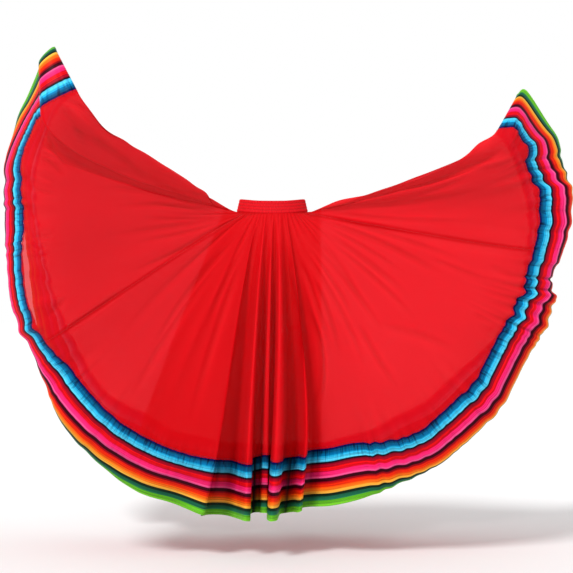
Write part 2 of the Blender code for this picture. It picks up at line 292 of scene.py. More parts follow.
# On the side behind the wearer, where the cloth hangs and where it is pulled to the hands.
BACK_CREASES = [
    Crease(165, 200, 157, 560, -10, 16, 8),
    Crease(170, 180, 161, 600, 16, 14, -9),
    Crease(178, 160, 172, 560, 12, 9, -6),
    Crease(183, 130, 177, 430, 10, 7, -5),
    Crease(186, 130, 183, 640, 8, 18, 7),
    Crease(190, 200, 188, 480, 6, 7, -5),
    Crease(194, 150, 196, 520, -8, 8, -6),
    Crease(200, 180, 203, 690, -8, 9, -6),
    Crease(205, 140, 209, 500, -10, 7, -5),
    Crease(216, 160, 222, 480, -6, 8, -6),
    Crease(224, 150, 229, 640, -8, 8, -5),
    Crease(232, 220, 238, 520, 8, 9, -6),
    Crease(243, 180, 247, 600, -6, 8, -6),
    Crease(257, 260, 255, 560, 10, 8, -6),
    Crease(273, 240, 276, 600, -8, 8, -6),
    Crease(284, 160, 288, 460, 6, 7, -5),
    Crease(291, 200, 297, 500, 6, 8, -6),
    Crease(304, 170, 309, 640, 8, 9, -5),
    Crease(313, 170, 318, 520, -10, 8, -6),
    Crease(321, 190, 324, 700, 8, 9, -5),
    Crease(327, 150, 330, 460, 10, 7, -5),
    Crease(339, 130, 343, 700, -8, 20, 7),
    Crease(344, 160, 347, 560, 6, 8, -6),
    Crease(350, 150, 352, 500, 6, 7, -5),
    Crease(360, 160, 366, 620, -14, 13, -9),
    Crease(364, 190, 371, 560, -8, 15, 7),
]


class Swell(NamedTuple):
    """A swelling, or a hollow, in the fold along the top of a wing.

    line names the line it lies on, reach is its middle's distance down from the waist, length its
    half length and height how far it stands out, negative for a hollow, all in millimetres.
    """

    line: str
    reach: float
    length: float
    height: float


SWELLS = [
    Swell("fold at the left hand", 112, 36, -13),
    Swell("fold at the left hand", 178, 36, 6),
    Swell("fold at the left hand", 262, 60, 13),
    Swell("fold at the left hand", 340, 50, 6),
    Swell("fold at the left hand", 415, 50, 4),
    Swell("fold at the left hand", 500, 30, -4),
    Swell("fold at the left hand", 590, 62, -15),
    Swell("fold at the right hand", 150, 80, 9),
    Swell("fold at the right hand", 330, 60, -4),
    Swell("fold at the right hand", 460, 60, -7),
    Swell("fold at the right hand", 560, 60, -6),
    Swell("fold at the right hand", 706, 38, 12),
]


class Ripple(NamedTuple):
    """A run of the border seam that meanders, between two lines named in the tables above.

    pitch is the usual wave length, shift how far a wave moves the seam across the border and swell
    how far it stands out of the cloth, in millimetres.
    """

    first: str
    last: str
    pitch: float
    shift: float
    swell: float


RIPPLES = [
    Ripple("strip turning under", "lower left side", 64, 1.6, 3.5),
    Ripple("lower left side", "left corner", 60, 1.6, 3.5),
    Ripple("left corner", "flat stretch", 90, 1.2, 2.5),
    Ripple("front right", "lower right side", 66, 1.8, 4.0),
    Ripple("lower right side", "right side seam", 38, 2.4, 5.0),
    Ripple("right side seam", "below the right tip", 60, 2.0, 6.0),
    Ripple("back, upper right side", "back, right rise", 62, 3.0, 7.0),
    Ripple("back, right rise", "back, left corner", 95, 1.2, 2.5),
    Ripple("back, left corner", "back, upper left side", 66, 3.0, 7.0),
]


class Jog(NamedTuple):
    """A single step of the border seam, towards the hem or, if negative, away from it.

    It lies past the named line by so many millimetres, along the seam, and has a half length.
    """

    line: str
    past: float
    length: float
    shift: float
    swell: float


JOGS = [
    Jog("strip turning under", 40, 30, -4, 7),
    Jog("widest point on the left", -30, 24, 4, -6),
    Jog("lower left side", 22, 20, -5, 6),
    Jog("lower left side", 80, 20, 11, 6),
    Jog("billow", 8, 12, 10, 5),
    Jog("bulge", 15, 14, 14, 6),
    Jog("nip", 22, 22, -4, -5),
    Jog("upper right side", 8, 14, 8, 7),
    Jog("upper right side", 36, 18, -8, -5),
    Jog("right outer strip", 18, 20, -6, -6),
    Jog("right outer strip", 58, 24, 15, 9),
    Jog("back, right side", 40, 26, 8, 7),
    Jog("back, right corner", -50, 24, -7, 6),
    Jog("back, left nip", 30, 26, 9, 7),
    Jog("back, upper left side", -40, 22, -6, 6),
]


# ---------------------------------------------------------------------------------------------
# Colours, nodes and finishes
# ---------------------------------------------------------------------------------------------


def linear_colour(code: str) -> tuple[float, float, float, float]:
    """Turn an sRGB hex code into the linear colour that a shader takes.

    Args:
        code: Six hex digits after a hash sign.

    Returns:
        Red, green, blue and an alpha of one.
    """
    channels = [int(code[start : start + 2], 16) / 255 for start in (1, 3, 5)]
    linear = [c / 12.92 if c <= 0.04045 else ((c + 0.055) / 1.055) ** 2.4 for c in channels]
    return (linear[0], linear[1], linear[2], 1.0)


def add_node(
    tree: bpy.types.NodeTree,
    kind: str,
    settings: dict[Any, Any] | None = None,
    links: dict[Any, bpy.types.NodeSocket] | None = None,
) -> bpy.types.Node:
    """Add one node to a tree, set it and link its inputs.

    Args:
        tree: The shader or geometry tree.
        kind: Blender's name for the node's type.
        settings: Values by property name, or by input name or number.
        links: Output sockets by the input name or number that each one feeds.

    Returns:
        The new node.
    """
    node = tree.nodes.new(kind)
    for key, value in (settings or {}).items():
        if isinstance(key, str) and hasattr(node, key):
            setattr(node, key, value)
        else:
            node.inputs[key].default_value = value
    for key, source in (links or {}).items():
        tree.links.new(source, node.inputs[key])
    return node


def new_material(name: str) -> tuple[bpy.types.Material, bpy.types.NodeTree]:
    """Start a material with an empty node tree.

    Args:
        name: The material's name.

    Returns:
        The material and its tree.
    """
    material = bpy.data.materials.new(name)
    material.use_nodes = True
    material.node_tree.nodes.clear()
    return material, material.node_tree


def wave_scale(pitch: float) -> float:
    """The Wave Texture's scale for bands that repeat every pitch metres."""
    return math.pi / 10 / pitch


CLOTH_UV = "cloth"
SEAM_DISTANCE = "seam_distance"
CAVITY = "cavity"
CENTRE_SHADE = "backed"


@dataclass(frozen=True)
class RedGeorgette:
    """Semi-sheer polyester georgette, piece-dyed red: crepe threads that let some light through."""

    name: str = "red_polyester_georgette"
    deep: str = "#D60416"
    light: str = "#E8081E"
    shade_in_folds: str = "#DE4450"
    highlight_on_ridges: str = "#FA1422"
    backed: str = "#F09CB0"
    at_seams: str = "#E6C8C8"
    through: str = "#F0080C"
    roughness: float = 0.6
    sheen: float = 0.02
    sheen_roughness: float = 0.5
    sheen_tint: str = "#FF8C8C"
    specular: float = 0.06
    translucency: float = 0.28
    cover: float = 0.89
    seam_and_shade_cover: float = 0.97
    allowance: float = 8 * MM
    thread_pitch: float = 1.6 * MM  # four real threads drawn as one, or they would not show
    thread_waver: float = 0.4
    crepe_size: float = 2.38 * MM  # crepe twice as coarse as the real one, or it would not show
    mottle_size: float = 312.5 * MM
    seam_fade: float = 0.8
    full_ridge: float = 0.5
    ridge_share: float = 0.5
    relief: float = 0.3 * MM
    relief_strength: float = 0.25

    def make(self) -> bpy.types.Material:
        """Build the material: weave and crepe bump, mottled red of the dyed cloth, light through the cloth,
        and painted shade and highlight in the folds, on the ridges and down the centre front.

        Returns:
            The material.
        """
        material, tree = new_material(self.name)
        add = partial(add_node, tree)
        uv = add("ShaderNodeUVMap", {"uv_map": CLOTH_UV})
        place = add("ShaderNodeTexCoord")
        bands = {"wave_type": "BANDS", "Scale": wave_scale(self.thread_pitch)}
        bands["Distortion"] = self.thread_waver
        warp = add("ShaderNodeTexWave", bands | {"bands_direction": "X"}, {"Vector": uv.outputs[0]})
        weft = add("ShaderNodeTexWave", bands | {"bands_direction": "Y"}, {"Vector": uv.outputs[0]})
        weave = add(
            "ShaderNodeMath", {"operation": "MULTIPLY"}, {0: warp.outputs["Fac"], 1: weft.outputs["Fac"]}
        )
        crepe = add(
            "ShaderNodeTexNoise",
            {"Scale": 1 / self.crepe_size, "Detail": 2.0},
            {"Vector": place.outputs["Object"]},
        )
        surface = add("ShaderNodeMath", {"operation": "ADD"}, {0: weave.outputs[0], 1: crepe.outputs["Fac"]})
        bump = add(
            "ShaderNodeBump",
            {"Strength": self.relief_strength, "Distance": self.relief},
            {"Height": surface.outputs[0]},
        )
        mottle = add(
            "ShaderNodeTexNoise",
            {"Scale": 1 / self.mottle_size, "Detail": 3.0},
            {"Vector": place.outputs["Object"]},
        )
        base_colour = add(
            "ShaderNodeMix",
            {"data_type": "RGBA", 6: linear_colour(self.deep), 7: linear_colour(self.light)},
            {0: mottle.outputs["Fac"]},
        )
        distance = add("ShaderNodeAttribute", {"attribute_name": SEAM_DISTANCE})
        doubled = add(
            "ShaderNodeMapRange",
            {"From Min": self.allowance, "From Max": self.allowance * self.seam_fade},
            {"Value": distance.outputs["Fac"]},
        )
        backed = add("ShaderNodeAttribute", {"attribute_name": CENTRE_SHADE})
        sunk = add("ShaderNodeAttribute", {"attribute_name": CAVITY})
        raised = add(
            "ShaderNodeMapRange",
            {"From Min": 0.0, "From Max": -self.full_ridge, "To Max": self.ridge_share},
            {"Value": sunk.outputs["Fac"]},
        )
        colour = base_colour
        for share, blend, tint in (
            # The seam allowance behind the cloth makes it deeper and less sheer beside each seam.
            (doubled.outputs["Result"], "MULTIPLY", self.at_seams),
            # Painted shade: down the centre front, over the pleats behind it, the cloth is drawn a shade
            # deeper than in the wings.
            (backed.outputs["Fac"], "MULTIPLY", self.backed),
            # Painted highlight: each ridge is drawn brighter than its sides.
            (raised.outputs["Result"], "MIX", self.highlight_on_ridges),
            # Partly the cloth lying double down in the tucks, partly painted shade: the tucks are drawn
            # deeper still.
            (sunk.outputs["Fac"], "MULTIPLY", self.shade_in_folds),
        ):
            colour = add(
                "ShaderNodeMix",
                {"data_type": "RGBA", "blend_type": blend, 7: linear_colour(tint)},
                {0: share, 6: colour.outputs[2]},
            )
        cloth = add(
            "ShaderNodeBsdfPrincipled",
            {
                "Roughness": self.roughness,
                "Sheen Weight": self.sheen,
                "Sheen Roughness": self.sheen_roughness,
                "Sheen Tint": linear_colour(self.sheen_tint),
                "Specular IOR Level": self.specular,
            },
            {"Base Color": colour.outputs[2], "Normal": bump.outputs[0]},
        )
        glow = add(
            "ShaderNodeBsdfTranslucent", {"Color": linear_colour(self.through)}, {"Normal": bump.outputs[0]}
        )
        threads = add(
            "ShaderNodeMixShader", {0: self.translucency}, {1: cloth.outputs[0], 2: glow.outputs[0]}
        )
        gaps = add("ShaderNodeBsdfTransparent")
        # Beside the seams the doubled cloth is less sheer; down the centre front painted shade also makes it
        # less sheer.
        seams_and_centre_shade = add(
            "ShaderNodeMath",
            {"operation": "MAXIMUM"},
            {0: doubled.outputs["Result"], 1: backed.outputs["Fac"]},
        )
        cover = add(
            "ShaderNodeMapRange",
            {"To Min": self.cover, "To Max": self.seam_and_shade_cover},
            {"Value": seams_and_centre_shade.outputs[0]},
        )
        sheer = add(
            "ShaderNodeMixShader",
            {},
            {0: cover.outputs["Result"], 1: gaps.outputs[0], 2: threads.outputs[0]},
        )
        add("ShaderNodeOutputMaterial", {}, {"Surface": sheer.outputs[0]})
        return material


class Stripe(NamedTuple):
    """One stripe of the border: how far down the border it ends, and its two edge colours."""

    end: float
    first: str
    last: str


STRIPES = [
    Stripe(0.040, "#020E50", "#04145C"),
    Stripe(0.130, "#004A74", "#0076AC"),
    Stripe(0.230, "#12AADE", "#58D6F8"),
    Stripe(0.265, "#14061E", "#200414"),
    Stripe(0.325, "#84021E", "#B00420"),
    Stripe(0.400, "#F00A12", "#D2061C"),
    Stripe(0.480, "#F51E6A", "#FA2C78"),
    Stripe(0.510, "#F05A96", "#E84C88"),
    Stripe(0.570, "#3C0012", "#340010"),
    Stripe(0.600, "#960216", "#A00414"),
    Stripe(0.670, "#DC190A", "#EB3208"),
    Stripe(0.730, "#F75A0E", "#FA821E"),
    Stripe(0.775, "#F3A030", "#F3B846"),
    Stripe(0.825, "#0C2216", "#0E2A1C"),
    Stripe(0.895, "#165840", "#1E7050"),
    Stripe(1.000, "#56B020", "#78CC30"),
]


@dataclass(frozen=True)
class StripedSatin:
    """Serape-striped polyester satin: smooth floats of thread, so folds shine along the stripes."""

    name: str = "serape_striped_satin"
    width: float = 178 * MM
    shade_in_folds: str = "#303040"
    wrong_side_and_shade: str = "#8C8C8C"
    shade_in_puckers: str = "#48506C"
    stripe_blend: float = 0.005
    roughness: float = 0.46
    anisotropy: float = 0.2
    specular: float = 0.06
    thread_pitch: float = 1.3 * MM  # three real threads drawn as one, or they would not show
    bundle_pitch: float = 5 * MM
    thread_run: float = 167 * MM
    bundle_run: float = 500 * MM
    pucker_pitch: float = 8 * MM
    pucker_reach: float = 52 * MM
    pucker_depth: float = 5 * MM
    pucker_rest: float = 0.04
    pucker_shade_range: tuple[float, float] = (0.48, 0.36)
    pucker_strength: float = 0.45
    unevenness: tuple[float, float] = (0.75, 1.25)
    shade: tuple[float, float] = (0.6, 1.25)
    relief: float = 0.2 * MM
    relief_strength: float = 0.15

    def ramp(self, tree: bpy.types.NodeTree, across: bpy.types.NodeSocket) -> bpy.types.Node:
        """Lay the stripes out on a colour ramp.

        Args:
            tree: The material's tree.
            across: The share of the border's width, from the seam to the hem.

        Returns:
            The colour ramp node.
        """
        node = add_node(tree, "ShaderNodeValToRGB", {}, {"Fac": across})
        stops = node.color_ramp.elements
        stops.remove(stops[1])
        start = 0.0
        for stripe in STRIPES:
            places = (start + self.stripe_blend, stripe.end - self.stripe_blend)
            for place, code in zip(places, (stripe.first, stripe.last)):
                stop = stops[0] if start == 0.0 and code == stripe.first else stops.new(place)
                stop.position = place
                stop.color = linear_colour(code)
            start = stripe.end
        return node

    def make(self) -> bpy.types.Material:
        """Build the material: stripes, fine thread lines, warp sheen, puckers at the seam, and painted shade
        in the folds and puckers and on the wrong side.

        Returns:
            The material.
        """
        material, tree = new_material(self.name)
        add = partial(add_node, tree)
        uv = add("ShaderNodeUVMap", {"uv_map": CLOTH_UV})
        axes = add("ShaderNodeSeparateXYZ", {}, {0: uv.outputs[0]})
        across = add("ShaderNodeMath", {"operation": "DIVIDE", 1: self.width}, {0: axes.outputs["Y"]})
        stripes = self.ramp(tree, across.outputs[0])
        # Single threads differ in brightness along their whole length.
        thread_scale = (1 / self.thread_run, 1 / self.thread_pitch, 1.0)
        stretched = add("ShaderNodeMapping", {"Scale": thread_scale}, {0: uv.outputs[0]})
        threads = add("ShaderNodeTexNoise", {"Scale": 1.0, "Detail": 1.0}, {"Vector": stretched.outputs[0]})
        bundle_scale = (1 / self.bundle_run, 1 / self.bundle_pitch, 1.0)
        bundled = add("ShaderNodeMapping", {"Scale": bundle_scale}, {0: uv.outputs[0]})
        bundles = add("ShaderNodeTexNoise", {"Scale": 1.0, "Detail": 2.0}, {"Vector": bundled.outputs[0]})
        uneven = add(
            "ShaderNodeMath", {"operation": "ADD"}, {0: threads.outputs["Fac"], 1: bundles.outputs["Fac"]}
        )
        shade = add(
            "ShaderNodeMapRange",
            {
                "From Min": self.unevenness[0],
                "From Max": self.unevenness[1],
                "To Min": self.shade[0],
                "To Max": self.shade[1],
            },
            {"Value": uneven.outputs[0]},
        )
        colour = add(
            "ShaderNodeMix",
            {"data_type": "RGBA", "blend_type": "MULTIPLY", 0: 1.0},
            {6: stripes.outputs[0], 7: shade.outputs["Result"]},
        )
        # The wrong side, inside the skirt, is drawn darker: partly the duller back with no floats of bright
        # thread on it, partly painted shade.
        side = add("ShaderNodeNewGeometry")
        sided = add(
            "ShaderNodeMix",
            {"data_type": "RGBA", "blend_type": "MULTIPLY", 7: linear_colour(self.wrong_side_and_shade)},
            {0: side.outputs["Backfacing"], 6: colour.outputs[2]},
        )
        # Painted shade: the satin is drawn darker down in the folds.
        sunk = add("ShaderNodeAttribute", {"attribute_name": CAVITY})
        fold_shaded = add(
            "ShaderNodeMix",
            {"data_type": "RGBA", "blend_type": "MULTIPLY", 7: linear_colour(self.shade_in_folds)},
            {0: sunk.outputs["Fac"], 6: sided.outputs[2]},
        )
        # Puckers run away from the seam where the strip is eased into it.
        tucks = add(
            "ShaderNodeMapping",
            {"Scale": (1 / self.pucker_pitch, 1 / self.pucker_reach, 1.0)},
            {0: uv.outputs[0]},
        )
        puckers = add(
            "ShaderNodeTexNoise",
            {"Scale": 1.0, "Detail": 2.0, "Distortion": 0.3},
            {"Vector": tucks.outputs[0]},
        )
        near_seam = add(
            "ShaderNodeMapRange",
            {"From Min": 0.0, "From Max": self.pucker_reach, "To Min": 1.0, "To Max": self.pucker_rest},
            {"Value": axes.outputs["Y"]},
        )
        depth = add(
            "ShaderNodeMath",
            {"operation": "MULTIPLY"},
            {0: puckers.outputs["Fac"], 1: near_seam.outputs["Result"]},
        )
        relief = add(
            "ShaderNodeBump",
            {"Strength": self.pucker_strength, "Distance": self.pucker_depth},
            {"Height": depth.outputs[0]},
        )
        # Painted shade: down in each pucker the satin is drawn darker.
        pucker_shade_mask = add(
            "ShaderNodeMapRange",
            {"From Min": self.pucker_shade_range[0], "From Max": self.pucker_shade_range[1]},
            {"Value": puckers.outputs["Fac"]},
        )
        pucker_shade = add(
            "ShaderNodeMath",
            {"operation": "MULTIPLY"},
            {0: pucker_shade_mask.outputs["Result"], 1: near_seam.outputs["Result"]},
        )
        pucker_shaded = add(
            "ShaderNodeMix",
            {"data_type": "RGBA", "blend_type": "MULTIPLY", 7: linear_colour(self.shade_in_puckers)},
            {0: pucker_shade.outputs[0], 6: fold_shaded.outputs[2]},
        )
        bump = add(
            "ShaderNodeBump",
            {"Strength": self.relief_strength, "Distance": self.relief},
            {"Height": threads.outputs["Fac"], "Normal": relief.outputs[0]},
        )
        tangent = add("ShaderNodeTangent", {"direction_type": "UV_MAP", "uv_map": CLOTH_UV})
        satin = add(
            "ShaderNodeBsdfPrincipled",
            {
                "Roughness": self.roughness,
                "Anisotropic": self.anisotropy,
                "Specular IOR Level": self.specular,
            },
            {
                "Base Color": pucker_shaded.outputs[2],
                "Normal": bump.outputs[0],
                "Tangent": tangent.outputs[0],
            },
        )
        add("ShaderNodeOutputMaterial", {}, {"Surface": satin.outputs[0]})
        return material


@dataclass(frozen=True)
class ShirredElastic:
    """Elastic covered in the doubled red cloth and shirred: matte, opaque and finely gathered."""

    name: str = "red_cloth_over_shirred_elastic"
    deep: str = "#A0020A"
    light: str = "#EE1422"
    roughness: float = 0.7
    grain_size: float = 3.85 * MM  # drawn coarser than the cloth's crepe, or it would not show
    sheen: float = 0.05
    sheen_roughness: float = 0.5
    sheen_tint: str = "#FF8C8C"
    specular: float = 0.1
    relief: float = 0.3 * MM
    relief_strength: float = 0.3

    def make(self) -> bpy.types.Material:
        """Build the material: the cloth's grain, and painted shade, a deeper red down in the gathers than on
        their crests.

        Returns:
            The material.
        """
        material, tree = new_material(self.name)
        add = partial(add_node, tree)
        place = add("ShaderNodeTexCoord")
        grain = add(
            "ShaderNodeTexNoise",
            {"Scale": 1 / self.grain_size, "Detail": 3.0},
            {"Vector": place.outputs["Object"]},
        )
        # Painted shade: the gathers' valleys are drawn deep red and their crests light red.
        height = add("ShaderNodeAttribute", {"attribute_name": Waistband.GATHER_SHADE})
        base_colour = add(
            "ShaderNodeMix",
            {"data_type": "RGBA", 6: linear_colour(self.deep), 7: linear_colour(self.light)},
            {0: height.outputs["Fac"]},
        )
        bump = add(
            "ShaderNodeBump",
            {"Strength": self.relief_strength, "Distance": self.relief},
            {"Height": grain.outputs["Fac"]},
        )
        cloth = add(
            "ShaderNodeBsdfPrincipled",
            {
                "Roughness": self.roughness,
                "Specular IOR Level": self.specular,
                "Sheen Weight": self.sheen,
                "Sheen Roughness": self.sheen_roughness,
                "Sheen Tint": linear_colour(self.sheen_tint),
            },
            {"Base Color": base_colour.outputs[2], "Normal": bump.outputs[0]},
        )
        add("ShaderNodeOutputMaterial", {}, {"Surface": cloth.outputs[0]})
        return material


@dataclass(frozen=True)
class SewingThread:
    """Spun polyester sewing thread: two twisted plies with a dull shine."""

    name: str
    colour: str
    roughness: float = 0.5
    sheen: float = 0.2
    shadow: float = 0.6
    twist_pitch: float = 0.8 * MM
    relief: float = 0.1 * MM
    relief_strength: float = 0.4

    def make(self) -> bpy.types.Material:
        """Build the material: one colour with a bump for the twist.

        Returns:
            The material.
        """
        material, tree = new_material(self.name)
        add = partial(add_node, tree)
        place = add("ShaderNodeTexCoord")
        twist = add(
            "ShaderNodeTexWave",
            {"wave_type": "BANDS", "bands_direction": "DIAGONAL", "Scale": wave_scale(self.twist_pitch)},
            {"Vector": place.outputs["Object"]},
        )
        bump = add(
            "ShaderNodeBump",
            {"Strength": self.relief_strength, "Distance": self.relief},
            {"Height": twist.outputs["Fac"]},
        )
        dark = tuple(self.shadow * channel for channel in linear_colour(self.colour)[:3]) + (1.0,)
        plies = add(
            "ShaderNodeMix",
            {"data_type": "RGBA", 6: dark, 7: linear_colour(self.colour)},
            {0: twist.outputs["Fac"]},
        )
        thread = add(
            "ShaderNodeBsdfPrincipled",
            {"Roughness": self.roughness, "Sheen Weight": self.sheen},
            {"Base Color": plies.outputs[2], "Normal": bump.outputs[0]},
        )
        add("ShaderNodeOutputMaterial", {}, {"Surface": thread.outputs[0]})
        return material


@dataclass(frozen=True)
class StudioPaper:
    """White seamless paper: even, matte and slightly fibrous."""

    name: str = "white_seamless_paper"
    colour: str = "#F4F4F4"
    roughness: float = 0.9
    tooth_size: float = 1.11 * MM
    relief: float = 0.1 * MM
    relief_strength: float = 0.05

    def make(self) -> bpy.types.Material:
        """Build the material: white with a faint tooth.

        Returns:
            The material.
        """
        material, tree = new_material(self.name)
        add = partial(add_node, tree)
        place = add("ShaderNodeTexCoord")
        tooth = add(
            "ShaderNodeTexNoise",
            {"Scale": 1 / self.tooth_size, "Detail": 2.0},
            {"Vector": place.outputs["Object"]},
        )
        bump = add(
            "ShaderNodeBump",
            {"Strength": self.relief_strength, "Distance": self.relief},
            {"Height": tooth.outputs["Fac"]},
        )
        paper = add(
            "ShaderNodeBsdfPrincipled",
            {"Base Color": linear_colour(self.colour), "Roughness": self.roughness},
            {"Normal": bump.outputs[0]},
        )
        add("ShaderNodeOutputMaterial", {}, {"Surface": paper.outputs[0]})
        return material


# ---------------------------------------------------------------------------------------------
# The form of the cloth
# ---------------------------------------------------------------------------------------------


def unit(vectors: np.ndarray) -> np.ndarray:
    """Scale vectors along the last axis to a length of one."""
    return vectors / np.maximum(np.linalg.norm(vectors, axis=-1, keepdims=True), 1e-12)


def smooth_step(low: float, high: float, values: np.ndarray) -> np.ndarray:
    """Rise smoothly from 0 at low to 1 at high; high below low falls instead."""
    share = np.clip((values - low) / (high - low), 0.0, 1.0)
    return share * share * (3 - 2 * share)


def front_direction(degrees: np.ndarray) -> np.ndarray:
    """Unit vectors in the front view, from angles in degrees."""
    angle = np.radians(degrees)
    return np.stack([np.cos(angle), np.zeros_like(angle), np.sin(angle)], axis=-1)


WAVE_WIDTHS = 0.8  # a fold of an uneven wave is up to e to this power wider or narrower than usual
WAVE_HEIGHTS = (0.15, 1.0)


def uneven_wave(along: np.ndarray, total: float, pitch: float, seed: int) -> np.ndarray:
    """A closed wave whose folds differ in width and height.

    Args:
        along: Places along the wave's path, in metres.
        total: The closed path's whole length.
        pitch: The usual width of a fold.
        seed: Fixes the random widths and heights.

    Returns:
        Heights from -1 to 1, one for each place.
    """
    draw = np.random.default_rng(seed)
    count = max(3, round(total / pitch))
    widths = np.exp(draw.uniform(-WAVE_WIDTHS, WAVE_WIDTHS, count))
    edges = np.concatenate([[0.0], np.cumsum(widths)]) * total / widths.sum()
    heights = draw.uniform(*WAVE_HEIGHTS, count)
    heights = np.append(heights, heights[0])
    phase = np.interp(along, edges, np.arange(count + 1.0))
    return np.cos(2 * np.pi * phase) * np.interp(phase, np.arange(count + 1.0), heights)


@dataclass
class ClothForm:
    """The whole cloth as one closed ring of columns, each running from the waistband to the hem.

    build() fills points, outward and the rest. Their first axis is the column, their second the
    row: the panel's rows come first, seam_row is the border seam, and the border's rows follow.
    """

    cut: Cut = field(default_factory=Cut)
    column_step: float = 4.0 * MM
    curve_rows: int = 92
    approach_rows: int = 2
    border_rows: int = 26
    arc_steps: int = 2
    tuck_in: float = 5 * MM
    tuck_pitch: float = 9.5 * MM
    tuck_depths: tuple[float, float] = (2.4 * MM, 7.0 * MM)
    tuck_lengths: tuple[float, float] = (100 * MM, 600 * MM)
    tuck_spacing: tuple[float, float] = (0.55, 1.45)
    tuck_length_range: tuple[float, float] = (0.7, 1.1)
    tuck_bias: float = 2.2
    tuck_sharpness: float = 1.7
    tuck_window: int = 12  # a tuck is worked out over this part of the ring to each side
    tuck_start: float = 0.3
    tuck_growth: float = 2.5
    tuck_fade: float = 0.12
    tuck_ease: float = 6 * MM
    tuck_top_width: float = 2.4 * MM
    tuck_foot_width: float = 12 * MM
    gather_swell: float = 2.4 * MM
    gather_swell_at: float = 12 * MM
    pucker_pitch: float = 24 * MM
    pucker_height: float = 1.7 * MM
    pucker_reach: float = 80 * MM
    pucker_above: float = 0.45
    crease_start: tuple[float, float] = (-0.02, 0.3)
    crease_end: tuple[float, float] = (1.02, 0.6)
    front_start: tuple[float, float] = (-0.4, 0.2)
    front_end: tuple[float, float] = (0.6, 1.2)
    edge_lines: float = 0.8
    cavity_spans: tuple[int, ...] = (3, 8)
    cavity_strength: float = 1.25
    centre_shade_left: tuple[tuple[float, float], ...] = ((-154 * MM, -38 * MM), (-352 * MM, -585 * MM))
    centre_shade_right: float = 148 * MM
    centre_shade_edge: float = 4 * MM
    ripple_inward: float = 95 * MM
    ripple_outward: float = 210 * MM
    ripple_share: float = 0.6
    ripple_fade: float = 0.7
    side_pucker_pitch: float = 17 * MM
    side_pucker_height: float = 1.0 * MM
    side_pucker_reach: float = 22 * MM
    side_pucker_overrun: float = 1.001
    side_pucker_top: tuple[float, float] = (0.15, 0.35)
    side_pucker_foot: tuple[float, float] = (10 * MM, -20 * MM)
    tuck_seed: int = 4
    pucker_seed: int = 33
    side_pucker_seed: int = 50
    ripple_seed: int = 70
    swell_seed: int = 90

    places: np.ndarray = field(init=False, repr=False)
    points: np.ndarray = field(init=False, repr=False)
    outward: np.ndarray = field(init=False, repr=False)
    cavity: np.ndarray = field(init=False, repr=False)
    from_waist: np.ndarray = field(init=False, repr=False)
    from_seam: np.ndarray = field(init=False, repr=False)
    panel_length: np.ndarray = field(init=False, repr=False)
    waist_length: np.ndarray = field(init=False, repr=False)
    seam_length: np.ndarray = field(init=False, repr=False)
    seam_row: int = field(init=False)

    def line_values(self, name: str) -> np.ndarray:
        """One column of the table of lines."""
        return np.array([getattr(line, name) for line in LINES], float)

    def border_direction(self, along: float) -> np.ndarray:
        """Which way each line's border runs at a distance along it from the seam.

        Args:
            along: The distance from the seam, in metres.

        Returns:
            A unit vector for each line.
        """
        roll = self.line_values("roll") * MM
        past = np.maximum(0.0, along - roll) / (self.cut.border_width - roll)
        lean = np.radians(self.line_values("lean") + self.line_values("curl") * past)
        forward = front_direction(self.line_values("fall")) * np.cos(lean)[:, None]
        return forward + np.array([0.0, 1.0, 0.0]) * np.sin(lean)[:, None]

    def seam_points(self) -> np.ndarray:
        """Where each line meets the border.

        Returns:
            One point for each line.
        """
        points = front_direction(self.line_values("turn")) * self.line_values("reach")[:, None] * MM
        points[:, 1] = self.line_values("depth") * MM
        return points

    def border_columns(self) -> np.ndarray:
        """Each line's points on the border, from the seam to the hem, along an arc of true length.

        Returns:
            Points by line and row.
        """
        step = self.cut.border_width / (self.border_rows * self.arc_steps)
        point = self.seam_points()
        points = [point]
        for index in range(self.border_rows * self.arc_steps):
            point = point + self.border_direction((index + 0.5) * step) * step
            if (index + 1) % self.arc_steps == 0:
                points.append(point)
        return np.stack(points, axis=1)

    def even_turns(self, places: np.ndarray, first: float, last: float) -> np.ndarray:
        """Gather a run of lines evenly onto the waist between two turns.

        Args:
            places: The lines' points on the border seam.
            first: The first line's turn, in degrees.
            last: The last line's turn, in degrees.

        Returns:
            Each line's turn on the waist, in degrees.
        """
        steps = np.linalg.norm(np.diff(places, axis=0), axis=1)
        runs = np.concatenate([[0.0], np.cumsum(steps)])
        return first + (last - first) * runs / runs[-1]

    def waist_turns(self) -> np.ndarray:
        """Each line's place on the waist: the front half's, then the back half's.

        Returns:
            A turn in degrees for each line.
        """
        places = self.seam_points()
        count = len(FRONT_LINES)
        front = self.even_turns(places[:count], FULL_TURN / 2, FULL_TURN)
        behind = np.concatenate([places[count - 1 :], places[:1]])
        back = self.even_turns(behind, FULL_TURN, FULL_TURN * 1.5)
        return np.concatenate([front, back[1:-1]])

